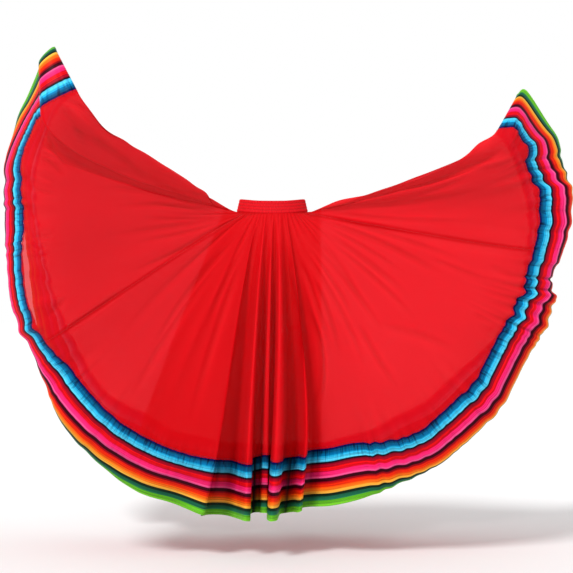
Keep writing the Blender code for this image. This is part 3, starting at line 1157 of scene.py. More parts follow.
    def panel_columns(self) -> np.ndarray:
        """Each line's points on the red cloth: a short drop, one smooth curve, then the seam.

        Returns:
            Points by line and row.
        """
        cut = self.cut
        turn = np.radians(self.waist_turns())
        outward = np.stack([np.cos(turn), np.sin(turn), np.zeros_like(turn)], axis=-1)
        dip = cut.band_dip * np.maximum(0.0, -outward[:, 1]) ** 2
        top = outward * np.array([cut.band_foot_width / 2, cut.band_foot_depth / 2, 0.0])
        top[:, 2] = -cut.band_height / 2 - cut.seam_gap - dip
        seam = self.seam_points()
        arrive = self.border_direction(0.0)
        inside = top + outward * -self.tuck_in / 4
        inside[:, 2] += self.tuck_in
        start = top - np.array([0.0, 0.0, cut.gather_drop])
        end = seam - arrive * cut.hem_approach
        straight = end - start
        length = np.linalg.norm(straight, axis=1)[:, None]
        to_front = np.abs(outward[:, 1])[:, None]
        leave = unit(straight) + outward * cut.start_spread * to_front
        leave[:, 2] = np.minimum(leave[:, 2], cut.max_rise)
        pull = cut.side_pull + (cut.front_pull - cut.side_pull) * to_front
        near = start + unit(leave) * length * pull
        far = end - arrive * length * cut.end_pull
        far[:, 2] -= self.line_values("sag") * MM
        t = np.linspace(0.0, 1.0, self.curve_rows)[None, :, None]
        s = 1 - t
        curve = (
            s**3 * start[:, None]
            + 3 * s * s * t * near[:, None]
            + 3 * s * t * t * far[:, None]
            + t**3 * end[:, None]
        )
        shares = np.arange(1, self.approach_rows + 1)[None, :, None] / self.approach_rows
        approach = end[:, None] + (seam - end)[:, None] * shares
        return np.concatenate([inside[:, None], top[:, None], curve, approach], axis=1)

    def column_places(self, seam: np.ndarray, hem: np.ndarray) -> np.ndarray:
        """Where the columns lie between the lines, close enough together all round.

        Args:
            seam: Each line's point on the border seam.
            hem: Each line's point on the hem.

        Returns:
            Line numbers with a fraction, rising round the ring, with every line among them. Each
            gap between lines has an even number of columns.
        """
        places = []
        for index in range(len(LINES)):
            after = (index + 1) % len(LINES)
            widest = max(np.linalg.norm(seam[after] - seam[index]), np.linalg.norm(hem[after] - hem[index]))
            count = 2 * max(3, math.ceil(widest / self.column_step / 2))
            places.extend(index + np.arange(count) / count)
        return np.array(places)

    def between_lines(self, lines: np.ndarray, knots_at: np.ndarray, places: np.ndarray) -> np.ndarray:
        """Centripetal Catmull-Rom curves across the lines, row by row.

        Args:
            lines: Points by line and row.
            knots_at: One point for each line, whose spacing sets the knots.
            places: Line numbers with a fraction.

        Returns:
            Points by column and row.
        """
        count = len(lines)
        index = np.floor(places).astype(int)
        part = (places - index)[:, None, None]
        p0, p1, p2, p3 = (lines[(index + offset) % count] for offset in (-1, 0, 1, 2))
        gaps = np.sqrt(np.linalg.norm(np.roll(knots_at, -1, axis=0) - knots_at, axis=1))
        g0, g1, g2 = (gaps[(index + offset) % count][:, None, None] for offset in (-1, 0, 1))
        k1, k2, k3 = g0, g0 + g1, g0 + g1 + g2
        k = k1 + g1 * part
        a1 = p0 * (k1 - k) / g0 + p1 * k / g0
        a2 = p1 * (k2 - k) / g1 + p2 * (k - k1) / g1
        a3 = p2 * (k3 - k) / g2 + p3 * (k - k2) / g2
        b1 = a1 * (k2 - k) / k2 + a2 * k / k2
        b2 = a2 * (k3 - k) / (k3 - k1) + a3 * (k - k1) / (k3 - k1)
        return b1 * (k2 - k) / g1 + b2 * (k - k1) / g1

    def normals(self) -> np.ndarray:
        """The cloth's outward direction at every point.

        Returns:
            A unit vector for each column and row.
        """
        round_ring = np.roll(self.points, -1, axis=0) - np.roll(self.points, 1, axis=0)
        down = np.gradient(self.points, axis=1)
        return unit(np.cross(down, round_ring))

    def crease_line(self, crease: Crease, pieces: int = 8) -> np.ndarray:
        """The points of a crease in the front view, as x and z in metres.

        Args:
            crease: The crease.
            pieces: How many straight pieces stand for its bow.

        Returns:
            One point more than there are pieces.
        """
        ends = []
        for turn, reach in ((crease.turn, crease.reach), (crease.end_turn, crease.end_reach)):
            angle = math.radians(turn)
            ends.append(np.array([math.cos(angle), math.sin(angle)]) * reach * MM)
        along = ends[1] - ends[0]
        aside = np.array([-along[1], along[0]]) / np.linalg.norm(along) * crease.bow * MM
        t = np.linspace(0.0, 1.0, pieces + 1)[:, None]
        return ends[0] + along * t + aside * 4 * t * (1 - t)

    def crease_field(self) -> np.ndarray:
        """How far the creases press each point in or out, in metres.

        Returns:
            A height for each column and row.
        """
        flat = self.points[..., [0, 2]]
        count = len(FRONT_LINES)
        place = self.places[:, None]
        forward = smooth_step(*self.front_start, place)
        forward = forward * smooth_step(count - self.front_end[0], count - self.front_end[1], place)
        behind = (place > count - 0.5) * 1.0
        height = np.zeros(flat.shape[:2])
        layers = [forward] * len(FRONT_CREASES) + [behind] * len(BACK_CREASES)
        for crease, layer in zip(FRONT_CREASES + BACK_CREASES, layers):
            line = self.crease_line(crease)
            nearest = np.full(height.shape, np.inf)
            share = np.zeros(height.shape)
            for number, (start, end) in enumerate(zip(line, line[1:])):
                step = end - start
                t = np.clip(((flat - start) @ step) / (step @ step), 0.0, 1.0)
                distance = np.linalg.norm(flat - start - t[..., None] * step, axis=-1)
                closer = distance < nearest
                nearest = np.where(closer, distance, nearest)
                share = np.where(closer, (number + t) / (len(line) - 1), share)
            taper = smooth_step(*self.crease_start, share) * smooth_step(*self.crease_end, share)
            profile = np.exp(-((nearest / (crease.width * MM)) ** 2))
            height += crease.height * MM * profile * taper * layer
        return height

    def tuck_field(self) -> np.ndarray:
        """The tucks that fan out from the gathered band, each with its own depth and length.

        Returns:
            A height in metres for each column and row.
        """
        draw = np.random.default_rng(self.tuck_seed)
        total = self.waist_length[-1]
        count = round(total / self.tuck_pitch)
        widths = draw.uniform(*self.tuck_spacing, count)
        starts = np.cumsum(widths) / widths.sum() * total
        shares = draw.uniform(0.0, 1.0, count) ** self.tuck_bias
        depths = self.tuck_depths[0] + (self.tuck_depths[1] - self.tuck_depths[0]) * shares
        lengths = self.tuck_lengths[0] + (self.tuck_lengths[1] - self.tuck_lengths[0]) * shares
        lengths *= draw.uniform(*self.tuck_length_range, count)
        gaps = np.linalg.norm(np.roll(self.points, -1, axis=0) - self.points, axis=-1)
        runs = np.cumsum(gaps, axis=0)
        height = np.zeros(runs.shape)
        reach = len(self.places) // self.tuck_window
        for start, depth, length in zip(starts, depths, lengths):
            column = int(np.searchsorted(self.waist_length, start)) % len(self.places)
            near = np.arange(column - reach, column + reach + 1)
            wrapped = near % len(self.places)
            aside = runs[wrapped] + np.floor_divide(near, len(self.places))[:, None] * runs[-1] - runs[column]
            down = self.from_waist[column] / length
            width = self.tuck_top_width + (self.tuck_foot_width - self.tuck_top_width) * np.clip(down, 0, 1)
            full = np.minimum(self.tuck_start + self.tuck_growth * down, 1.0)
            full = full * smooth_step(1.0, self.tuck_fade, down)
            full = full * smooth_step(self.tuck_in, self.tuck_in + self.tuck_ease, self.from_waist[column])
            height[wrapped] -= depth * full * np.exp(-np.abs(aside / width) ** self.tuck_sharpness)
        below_band = (self.from_waist - self.gather_swell_at) / self.gather_swell_at
        return height + self.gather_swell * np.exp(-(below_band**2))

    def swell_field(self) -> np.ndarray:
        """The swellings along the folds at the top of the wings.

        Returns:
            A height in metres for each column and row.
        """
        names = [line.name for line in LINES]
        height = np.zeros(self.from_waist.shape)
        for swell in SWELLS:
            away = np.abs(self.places - names.index(swell.line))
            away = np.minimum(away, len(LINES) - away)
            beside = np.exp(-((away / self.edge_lines) ** 2))[:, None]
            along = (self.from_waist - swell.reach * MM) / (swell.length * MM)
            height += swell.height * MM * beside * np.exp(-(along**2))
        return height

    def centre_shade_mask(self) -> np.ndarray:
        """Where the centre front is painted in shade, over the deep pleats of the back behind it: 1 there, 0
        in the wings.

        Returns:
            A share for each column and row.
        """
        across, level = self.points[..., 0], self.points[..., 2]
        (left, top), (left_foot, foot) = self.centre_shade_left
        edge = left + (left_foot - left) * (level - top) / (foot - top)
        inside = smooth_step(-self.centre_shade_edge, self.centre_shade_edge, across - edge)
        inside = inside * (self.places < len(FRONT_LINES) - 0.5)[:, None]
        return inside * smooth_step(self.centre_shade_edge, -self.centre_shade_edge, across - self.centre_shade_right)

    def cavities(self) -> np.ndarray:
        """How far each point lies down in a fold, up to 1, or up on a ridge, down to -1, for the painted
        shade and highlight.

        Returns:
            A share for each column and row.
        """
        depth = np.zeros(self.points.shape[:2])
        for span in self.cavity_spans:
            after = np.roll(self.points, -span, axis=0)
            before = np.roll(self.points, span, axis=0)
            sunk = ((after + before) / 2 - self.points) * self.outward
            depth += sunk.sum(axis=-1) / np.linalg.norm(after - before, axis=-1)
        return np.clip(depth * self.cavity_strength, -1.0, 1.0)

    def pucker_field(self) -> np.ndarray:
        """Small puckers beside the border seam, and beside the two side seams of the panels.

        Returns:
            A height in metres for each column and row.
        """
        along, total = self.seam_length[:-1], self.seam_length[-1]
        wave = uneven_wave(along, total, self.pucker_pitch, self.pucker_seed)[:, None]
        reach = np.where(self.from_seam < 0, self.pucker_above, 1.0) * self.pucker_reach
        height = self.pucker_height * wave * np.exp(-((self.from_seam / reach) ** 2))
        for line in (LEFT_SEAM, RIGHT_SEAM):
            column = int(np.argmin(np.abs(self.places - line)))
            away = np.abs(along - along[column])[:, None]
            spread = np.clip(self.from_waist / self.panel_length[:, None], 0.0, 1.0)
            down = self.from_waist[column]
            seed = self.side_pucker_seed + line
            total_down = down[-1] * self.side_pucker_overrun
            ripple = uneven_wave(down, total_down, self.side_pucker_pitch, seed)[None, :]
            beside = np.exp(-((away * spread / self.side_pucker_reach) ** 2))
            inside = smooth_step(*self.side_pucker_top, spread)
            inside = inside * smooth_step(*self.side_pucker_foot, self.from_seam)
            height += self.side_pucker_height * ripple * beside * inside
        return height

    def ripple_shift(self) -> tuple[np.ndarray, np.ndarray]:
        """How the border's ripples move the cloth.

        Returns:
            The move across the border, as vectors, and the swell out of the cloth, as lengths.
        """
        names = [line.name for line in LINES]
        along, total = self.seam_length[:-1], self.seam_length[-1]
        across = unit(self.points[:, self.seam_row + 1] - self.points[:, self.seam_row])
        inward = np.exp(-((np.minimum(self.from_seam, 0.0) / self.ripple_inward) ** 2))
        outward = np.exp(-((np.maximum(self.from_seam, 0.0) / self.ripple_outward) ** 2))
        fade = inward * outward
        shift = np.zeros_like(self.points)
        swell = np.zeros(self.points.shape[:2])
        for jog in JOGS:
            column = int(np.argmin(np.abs(self.places - names.index(jog.line))))
            away = along - along[column] - jog.past * MM
            bell = np.exp(-((away / (jog.length * MM)) ** 2))
            shift += (across * (bell * jog.shift * MM)[:, None])[:, None] * fade[..., None]
            swell += bell[:, None] * jog.swell * MM * fade
        for number, ripple in enumerate(RIPPLES):
            first, last = names.index(ripple.first), names.index(ripple.last)
            ends = smooth_step(first, first + self.ripple_fade, self.places)
            ends = ends * smooth_step(last, last - self.ripple_fade, self.places)
            wave = uneven_wave(along, total, ripple.pitch * MM, self.ripple_seed + number) * ends
            shift += (across * (wave * ripple.shift * MM)[:, None])[:, None] * fade[..., None]
            turned = uneven_wave(along, total, ripple.pitch * MM, self.swell_seed + number) * ends
            swell += self.ripple_share * (wave + turned)[:, None] * ripple.swell * MM * fade
        return shift, swell

    def measure(self) -> None:
        """Work out each point's distances from the waist and from the seam, before any creasing."""
        steps = np.linalg.norm(np.diff(self.points, axis=1), axis=-1)
        self.from_waist = np.concatenate([np.zeros((len(steps), 1)), np.cumsum(steps, axis=1)], axis=1)
        self.panel_length = self.from_waist[:, self.seam_row]
        self.from_seam = self.from_waist - self.panel_length[:, None]
        gaps = np.linalg.norm(np.roll(self.points, -1, axis=0) - self.points, axis=-1)
        self.waist_length = np.concatenate([[0.0], np.cumsum(gaps[:, 0])])
        self.seam_length = np.concatenate([[0.0], np.cumsum(gaps[:, self.seam_row])])

    def build(self) -> None:
        """Loft the ring, then press gathers, creases, puckers and ripples into it."""
        panel = self.panel_columns()
        border = self.border_columns()
        self.places = self.column_places(border[:, 0], border[:, -1])
        panel = self.between_lines(panel, self.seam_points(), self.places)
        border = self.between_lines(border, self.seam_points(), self.places)
        self.seam_row = panel.shape[1] - 1
        self.points = np.concatenate([panel, border[:, 1:]], axis=1)
        self.measure()
        height = self.crease_field() + self.tuck_field() + self.pucker_field() + self.swell_field()
        shift, swell = self.ripple_shift()
        self.points = self.points + self.normals() * (height + swell)[..., None] + shift
        self.outward = self.normals()
        self.cavity = self.cavities()

    def columns(self, first: int, last: int, stride: int) -> np.ndarray:
        """The numbers of the columns from one line to another, going round the ring.

        Args:
            first: The line to start from.
            last: The line to end on, counted on past the last line where the run wraps.
            stride: Take every so many columns.

        Returns:
            Column numbers, the first line's and the last line's among them.
        """
        starts = [int(np.argmin(np.abs(self.places - line % len(LINES)))) for line in (first, last)]
        if last >= len(LINES):
            starts[1] += len(self.places)
        return np.arange(starts[0], starts[1] + 1, stride) % len(self.places)


# ---------------------------------------------------------------------------------------------
# Pieces
# ---------------------------------------------------------------------------------------------


class Half(Enum):
    """The two halves that the side seams divide the cloth into."""

    FRONT = "front"
    BACK = "back"

    def lines(self) -> tuple[int, int]:
        """The first and last line of this half, counted on round the ring.

        Returns:
            Two line numbers.
        """
        if self is Half.FRONT:
            return LEFT_SEAM, RIGHT_SEAM
        return RIGHT_SEAM, LEFT_SEAM + len(LINES)


def show(name: str, mesh: bpy.types.Mesh) -> bpy.types.Object:
    """Put a mesh in the scene as an object at the origin.

    Args:
        name: The object's name.
        mesh: Its mesh.

    Returns:
        The object.
    """
    piece = bpy.data.objects.new(name, mesh)
    bpy.context.scene.collection.objects.link(piece)
    return piece


def grid_mesh(name: str, points: np.ndarray, flat: np.ndarray, closed: bool = False) -> bpy.types.Mesh:
    """A smooth mesh of quads from a grid of points.

    Args:
        name: The mesh's name.
        points: Points by column and row.
        flat: The same points on the flat cut, in metres, for the UV map.
        closed: Whether each column's last row joins its first, and the last column the first.

    Returns:
        The mesh, with its faces towards the outside.
    """
    columns, rows = points.shape[:2]
    across = np.arange(columns if closed else columns - 1)
    down = np.arange(rows if closed else rows - 1)
    c, r = np.meshgrid(across, down, indexing="ij")
    after, below = (c + 1) % columns, (r + 1) % rows
    corners = [c * rows + r, c * rows + below, after * rows + below, after * rows + r]
    faces = np.stack([corner.ravel() for corner in corners], axis=1)
    mesh = bpy.data.meshes.new(name)
    mesh.vertices.add(columns * rows)
    mesh.vertices.foreach_set("co", points.reshape(-1).astype(np.float32))
    mesh.loops.add(faces.size)
    mesh.loops.foreach_set("vertex_index", faces.reshape(-1))
    mesh.polygons.add(len(faces))
    mesh.polygons.foreach_set("loop_start", np.arange(0, faces.size, 4))
    mesh.update(calc_edges=True)
    uv = mesh.uv_layers.new(name=CLOTH_UV)
    uv.data.foreach_set("uv", flat.reshape(-1, 2)[faces.reshape(-1)].reshape(-1).astype(np.float32))
    mesh.shade_smooth()
    return mesh


def add_values(mesh: bpy.types.Mesh, name: str, values: np.ndarray) -> None:
    """Keep one number for each vertex as a named attribute of the mesh."""
    attribute = mesh.attributes.new(name, "FLOAT", "POINT")
    attribute.data.foreach_set("value", values.reshape(-1).astype(np.float32))


def mesh_area(mesh: bpy.types.Mesh) -> float:
    """The mesh's whole surface.

    Args:
        mesh: The mesh.

    Returns:
        Its area in square metres.
    """
    areas = np.zeros(len(mesh.polygons))
    mesh.polygons.foreach_get("area", areas)
    return float(areas.sum())


@dataclass
class RedPanel:
    """A red panel: a sector of a ring of cloth, gathered into the band along its inner edge."""

    form: ClothForm
    half: Half
    fullness: float = 3.2
    stride: int = 2

    def cut_sizes(self, columns: np.ndarray) -> tuple[float, float, float, float]:
        """The flat cut of this panel.

        Args:
            columns: The panel's columns in the ring.

        Returns:
            The sector's angle in radians, its inner and outer radius, and its flat area.
        """
        places = self.form.points[columns]
        edges = []
        for row in (0, self.form.seam_row):
            steps = np.diff(places[:, row], axis=0)
            edges.append(float(np.linalg.norm(steps, axis=1).sum()))
        length = float(self.form.panel_length[columns].mean())
        inner_edge = edges[0] * self.fullness
        angle = (edges[1] - inner_edge) / length
        inner = inner_edge / angle
        return angle, inner, inner + length, angle * (inner + length / 2) * length

    def build(self, material: bpy.types.Material) -> bpy.types.Object:
        """Args:
            material: The red cloth.

        Returns:
            The panel.
        """
        form = self.form
        columns = form.columns(*self.half.lines(), self.stride)
        rows = form.seam_row + 1
        points = form.points[columns, :rows]
        angle, inner, outer, area = self.cut_sizes(columns)
        along = np.linspace(-angle / 2, angle / 2, len(columns))[:, None]
        radius = inner + form.from_waist[columns, :rows]
        flat = np.stack([radius * np.sin(along), radius * np.cos(along)], axis=-1)
        mesh = grid_mesh(f"{self.half.value}_panel_cloth", points, flat)
        runs = np.concatenate([[0.0], np.cumsum(np.linalg.norm(np.diff(points[:, -1], axis=0), axis=1))])
        spread = form.from_waist[columns, :rows] / form.panel_length[columns, None]
        aside = np.minimum(runs, runs[-1] - runs)[:, None] * spread
        below = -form.from_seam[columns, :rows]
        add_values(mesh, SEAM_DISTANCE, np.minimum(aside, below))
        add_values(mesh, CAVITY, form.cavity[columns, :rows])
        # Painted shade: the mask of the deeper, less sheer centre front.
        add_values(mesh, CENTRE_SHADE, form.centre_shade_mask()[columns, :rows])
        mesh.materials.append(material)
        piece = show(mesh.name, mesh)
        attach(piece, BODY)
        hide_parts(f"{self.half.value}_panel")
        LOG.info(
            "%s: a %.0f degree sector, radii %.2f to %.2f m, flat %.2f m2, worn %.2f m2, %d faces",
            piece.name,
            math.degrees(angle),
            inner,
            outer,
            area,
            mesh_area(mesh),
            len(mesh.polygons),
        )
        return piece


@dataclass
class SatinBorder:
    """A straight strip of striped satin, eased into the red panel's lower edge."""

    form: ClothForm
    half: Half

    def build(self, material: bpy.types.Material) -> bpy.types.Object:
        """Args:
            material: The striped satin.

        Returns:
            The border.
        """
        form = self.form
        columns = form.columns(*self.half.lines(), 1)
        points = form.points[columns, form.seam_row :]
        hem = np.linalg.norm(np.diff(points[:, -1], axis=0), axis=1)
        along = np.concatenate([[0.0], np.cumsum(hem)])
        across = np.linspace(0.0, form.cut.border_width, points.shape[1])
        flat = np.stack(np.meshgrid(along, across, indexing="ij"), axis=-1)
        mesh = grid_mesh(f"{self.half.value}_border_satin", points, flat)
        add_values(mesh, CAVITY, form.cavity[columns, form.seam_row :])
        mesh.materials.append(material)
        piece = show(mesh.name, mesh)
        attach(piece, BODY)
        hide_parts(f"{self.half.value}_border")
        LOG.info(
            "%s: a strip %.2f m by %.3f m, worn %.2f m2, %d faces",
            piece.name,
            along[-1],
            form.cut.border_width,
            mesh_area(mesh),
            len(mesh.polygons),
        )
        return piece


def new_geometry_tree(
    name: str, sizes: dict[str, float], kinds: dict[str, str] | None = None
) -> tuple[bpy.types.GeometryNodeTree, bpy.types.Node, dict[str, str]]:
    """Start a Geometry Nodes tree with a geometry input and output and named inputs.

    Args:
        name: The tree's name.
        sizes: Default values of the float inputs, by name.
        kinds: Socket types of any other inputs, by name.

    Returns:
        The tree, its input node, and each named input's identifier.
    """
    tree = bpy.data.node_groups.new(name, "GeometryNodeTree")
    tree.interface.new_socket("Geometry", in_out="OUTPUT", socket_type="NodeSocketGeometry")
    tree.interface.new_socket("Geometry", in_out="INPUT", socket_type="NodeSocketGeometry")
    identifiers = {}
    for label, value in sizes.items():
        socket = tree.interface.new_socket(label, in_out="INPUT", socket_type="NodeSocketFloat")
        socket.default_value = value
        identifiers[label] = socket.identifier
    for label, kind in (kinds or {}).items():
        socket = tree.interface.new_socket(label, in_out="INPUT", socket_type=kind)
        identifiers[label] = socket.identifier
    return tree, tree.nodes.new("NodeGroupInput"), identifiers


def settle(piece: bpy.types.Object, tree: bpy.types.GeometryNodeTree, inputs: dict[str, Any]) -> None:
    """Run a Geometry Nodes tree on a piece and keep the result as its plain mesh.

    Args:
        piece: The object that holds the starting mesh.
        tree: The tree to run.
        inputs: Values by socket identifier.
    """
    modifier = piece.modifiers.new(tree.name, "NODES")
    modifier.node_group = tree
    for identifier, value in inputs.items():
        modifier[identifier] = value
    evaluated = piece.evaluated_get(bpy.context.evaluated_depsgraph_get())
    result = bpy.data.meshes.new_from_object(evaluated)
    piece.modifiers.remove(modifier)
    result.name = piece.name
    piece.data = result


@dataclass
class Waistband:
    """The elastic waistband: an oval tube of doubled cloth, shirred in rows over the elastic."""

    GATHER_SHADE = "puff"
    OUT = "out"
    ALONG = "along"
    HEIGHT = "height"
    SHIRRED = "shirred"

    cut: Cut
    sides: int = 900
    outer_rows: int = 30
    rim_rows: int = 5
    inner_rows: int = 6
    cushion: float = 0.4 * MM
    gather_pitch: float = 3.6 * MM
    gather_depth: float = 1.0 * MM
    row_count: int = 4
    row_depth: float = 0.7 * MM
    unevenness: float = 0.55
    wander_scale: float = 95.0  # swings of the gathers' drift in each metre
    wander_turns: float = 4.0
    puff_roundness: float = 0.6
    gather_swell: float = 0.6
    shade_swell: float = 0.5

    def oval(self, level: float, out: float) -> np.ndarray:
        """A ring of points round the band.

        Args:
            level: Height as a share of the band, from its foot at 0 to its top at 1.
            out: Distance outside the middle of the band's wall.

        Returns:
            One point for each side.
        """
        cut = self.cut
        angle = np.linspace(0.0, 2 * np.pi, self.sides, endpoint=False)
        width = cut.band_foot_width + (cut.band_top_width - cut.band_foot_width) * level
        depth = cut.band_foot_depth + (cut.band_top_depth - cut.band_foot_depth) * level
        dip = cut.band_dip * np.maximum(0.0, -np.sin(angle)) ** 2
        x = np.cos(angle) * (width / 2 + out)
        y = np.sin(angle) * (depth / 2 + out)
        return np.stack([x, y, (level - 0.5) * cut.band_height - dip], axis=-1)

    def profile(self) -> list[tuple[float, float, float]]:
        """The band's cross-section: level, distance out and how much each ring is shirred.

        Returns:
            Those three numbers for each ring.
        """
        half = self.cut.band_wall / 2
        rim = half / self.cut.band_height
        rings = []
        for level in np.linspace(1 - rim, rim, self.outer_rows):
            rings.append((level, half, 1.0))
        for turn in np.linspace(0.0, np.pi, self.rim_rows + 2)[1:-1]:
            rings.append((rim * (1 - math.sin(turn)), half * math.cos(turn), 0.5 + 0.5 * math.cos(turn)))
        for level in np.linspace(rim, 1 - rim, self.inner_rows):
            rings.append((level, -half, 0.0))
        for turn in np.linspace(np.pi, 0.0, self.rim_rows + 2)[1:-1]:
            rings.append((1 - rim * (1 - math.sin(turn)), half * math.cos(turn), 0.5 + 0.5 * math.cos(turn)))
        return rings

    def shirring(self) -> tuple[bpy.types.GeometryNodeTree, dict[str, str]]:
        """The tree that presses fine upright gathers and rows of shirring into the band.

        Returns:
            The tree and its inputs' identifiers.
        """
        tree, sizes, identifiers = new_geometry_tree(
            "shirring",
            {
                "Gather Pitch": self.gather_pitch,
                "Gather Depth": self.gather_depth,
                "Row Spacing": self.cut.band_height / self.row_count,
                "Row Depth": self.row_depth,
                "Unevenness": self.unevenness,
            },
            {"Material": "NodeSocketMaterial"},
        )
        add = partial(add_node, tree)
        values = {label: sizes.outputs[label] for label in identifiers}
        for name in (self.ALONG, self.HEIGHT, self.SHIRRED, self.OUT):
            kind = "FLOAT_VECTOR" if name == self.OUT else "FLOAT"
            node = add("GeometryNodeInputNamedAttribute", {"data_type": kind, "Name": name})
            values[name] = node.outputs["Attribute"]
        spot = add("ShaderNodeCombineXYZ", {}, {"X": values[self.ALONG], "Y": values[self.HEIGHT]})
        wander = add(
            "ShaderNodeTexNoise", {"Scale": self.wander_scale, "Detail": 1.0}, {"Vector": spot.outputs[0]}
        )
        values["wander"] = wander.outputs[0]
        # Each step's result, its operation, and the results or numbers that it works on.
        for result, operation, *operands in (
            ("offset", "SUBTRACT", "wander", 0.5),
            ("drift", "MULTIPLY", "offset", "Unevenness"),
            ("drift in gathers", "MULTIPLY", "drift", self.wander_turns),
            ("even gathers", "DIVIDE", self.ALONG, "Gather Pitch"),
            ("gathers", "ADD", "even gathers", "drift in gathers"),
            ("gather phase", "MULTIPLY", "gathers", math.pi),
            ("gather wave", "SINE", "gather phase"),
            ("gather", "ABSOLUTE", "gather wave"),
            ("rows", "DIVIDE", self.HEIGHT, "Row Spacing"),
            ("row phase", "MULTIPLY", "rows", math.pi),
            ("row wave", "SINE", "row phase"),
            ("row", "ABSOLUTE", "row wave"),
            ("puff", "POWER", "row", self.puff_roundness),
            ("puff rise", "MULTIPLY", "puff", "Row Depth"),
            ("gather rise", "MULTIPLY", "gather", "Gather Depth"),
            ("gather swell", "MULTIPLY", "puff", self.gather_swell),
            ("gather share", "ADD", "gather swell", 1.0 - self.gather_swell),
            ("puffed gather", "MULTIPLY", "gather rise", "gather share"),
            ("whole rise", "ADD", "puff rise", "puffed gather"),
            ("rise", "MULTIPLY", "whole rise", self.SHIRRED),
            ("shade swell", "MULTIPLY", "puff", self.shade_swell),
            ("shade share", "ADD", "shade swell", 1.0 - self.shade_swell),
            ("shade", "MULTIPLY", "gather", "shade share"),
        ):
            numbers = {index: value for index, value in enumerate(operands) if not isinstance(value, str)}
            sources = {index: values[name] for index, name in enumerate(operands) if isinstance(name, str)}
            node = add("ShaderNodeMath", {"operation": operation, **numbers}, sources)
            values[result] = node.outputs[0]
        offset = add(
            "ShaderNodeVectorMath", {"operation": "SCALE"}, {0: values[self.OUT], "Scale": values["rise"]}
        )
        moved = add(
            "GeometryNodeSetPosition",
            {},
            {"Geometry": sizes.outputs["Geometry"], "Offset": offset.outputs[0]},
        )
        # The painted shade of the gathers is kept for the material: low in the valleys, high on the crests.
        kept = add(
            "GeometryNodeStoreNamedAttribute",
            {"data_type": "FLOAT", "domain": "POINT", "Name": self.GATHER_SHADE},
            {"Geometry": moved.outputs[0], "Value": values["shade"]},
        )
        real = add("GeometryNodeRealizeInstances", {}, {0: kept.outputs[0]})
        dressed = add(
            "GeometryNodeSetMaterial",
            {},
            {"Geometry": real.outputs[0], "Material": sizes.outputs["Material"]},
        )
        add("NodeGroupOutput", {}, {0: dressed.outputs[0]})
        return tree, identifiers

    def build(self, material: bpy.types.Material) -> bpy.types.Object:
        """Make the band and shirr it.

        Args:
            material: The cloth over the elastic.

        Returns:
            The waistband.
        """
        rings = self.profile()
        points = np.stack([self.oval(level, out) for level, out, _ in rings], axis=1)
        middle = self.oval(0.5, 0.0)
        gaps = np.linalg.norm(np.roll(middle, -1, axis=0) - middle, axis=1)
        round_band = np.concatenate([[0.0], np.cumsum(gaps)[:-1]])
        total = float(gaps.sum())
        levels = np.array([level for level, _, _ in rings]) * self.cut.band_height
        flat = np.stack(np.meshgrid(round_band, levels, indexing="ij"), axis=-1)
        mesh = grid_mesh("waistband_shirred", points, flat, closed=True)
        out = unit(middle * np.array([1.0, 1.0, 0.0]))
        whole_gathers = total / round(total / self.gather_pitch)
        for name, kind, values in (
            (self.ALONG, "FLOAT", flat[..., 0]),
            (self.HEIGHT, "FLOAT", flat[..., 1]),
            (self.SHIRRED, "FLOAT", np.tile([shirred for _, _, shirred in rings], (self.sides, 1))),
            (self.OUT, "FLOAT_VECTOR", np.repeat(out[:, None], len(rings), axis=1)),
        ):
            attribute = mesh.attributes.new(name, kind, "POINT")
            attribute.data.foreach_set(
                "value" if kind == "FLOAT" else "vector", values.reshape(-1).astype(np.float32)
            )
        piece = show(mesh.name, mesh)
        tree, identifiers = self.shirring()
        settle(
            piece,
            tree,
            {
                identifiers["Gather Pitch"]: whole_gathers,
                identifiers["Gather Depth"]: self.gather_depth,
                identifiers["Row Spacing"]: self.cut.band_height / self.row_count,
                identifiers["Row Depth"]: self.row_depth,
                identifiers["Unevenness"]: self.unevenness,
                identifiers["Material"]: material,
            },
        )
        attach(piece, BODY)
        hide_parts("waistband")
        area = mesh_area(piece.data) / 2
        LOG.info("%s: %.3f m round, %.3f m2, %d faces", piece.name, total, area, len(piece.data.polygons))
        return piece

    def row_paths(self) -> list[SeamPath]:
        """Where the rows of shirring thread run, one closed path each.

        Returns:
            The paths, from the lowest row up.
        """
        paths = []
        for row in range(1, self.row_count):
            points = self.oval(row / self.row_count, self.cut.band_wall / 2 + self.cushion)[::2]
            paths.append(SeamPath(points, unit(points * np.array([1.0, 1.0, 0.0])), closed=True))
        return paths


class SeamPath(NamedTuple):
    """A run of stitching: its points, the cloth's outward direction at each, and if it closes."""

    points: np.ndarray
    outward: np.ndarray
    closed: bool = False


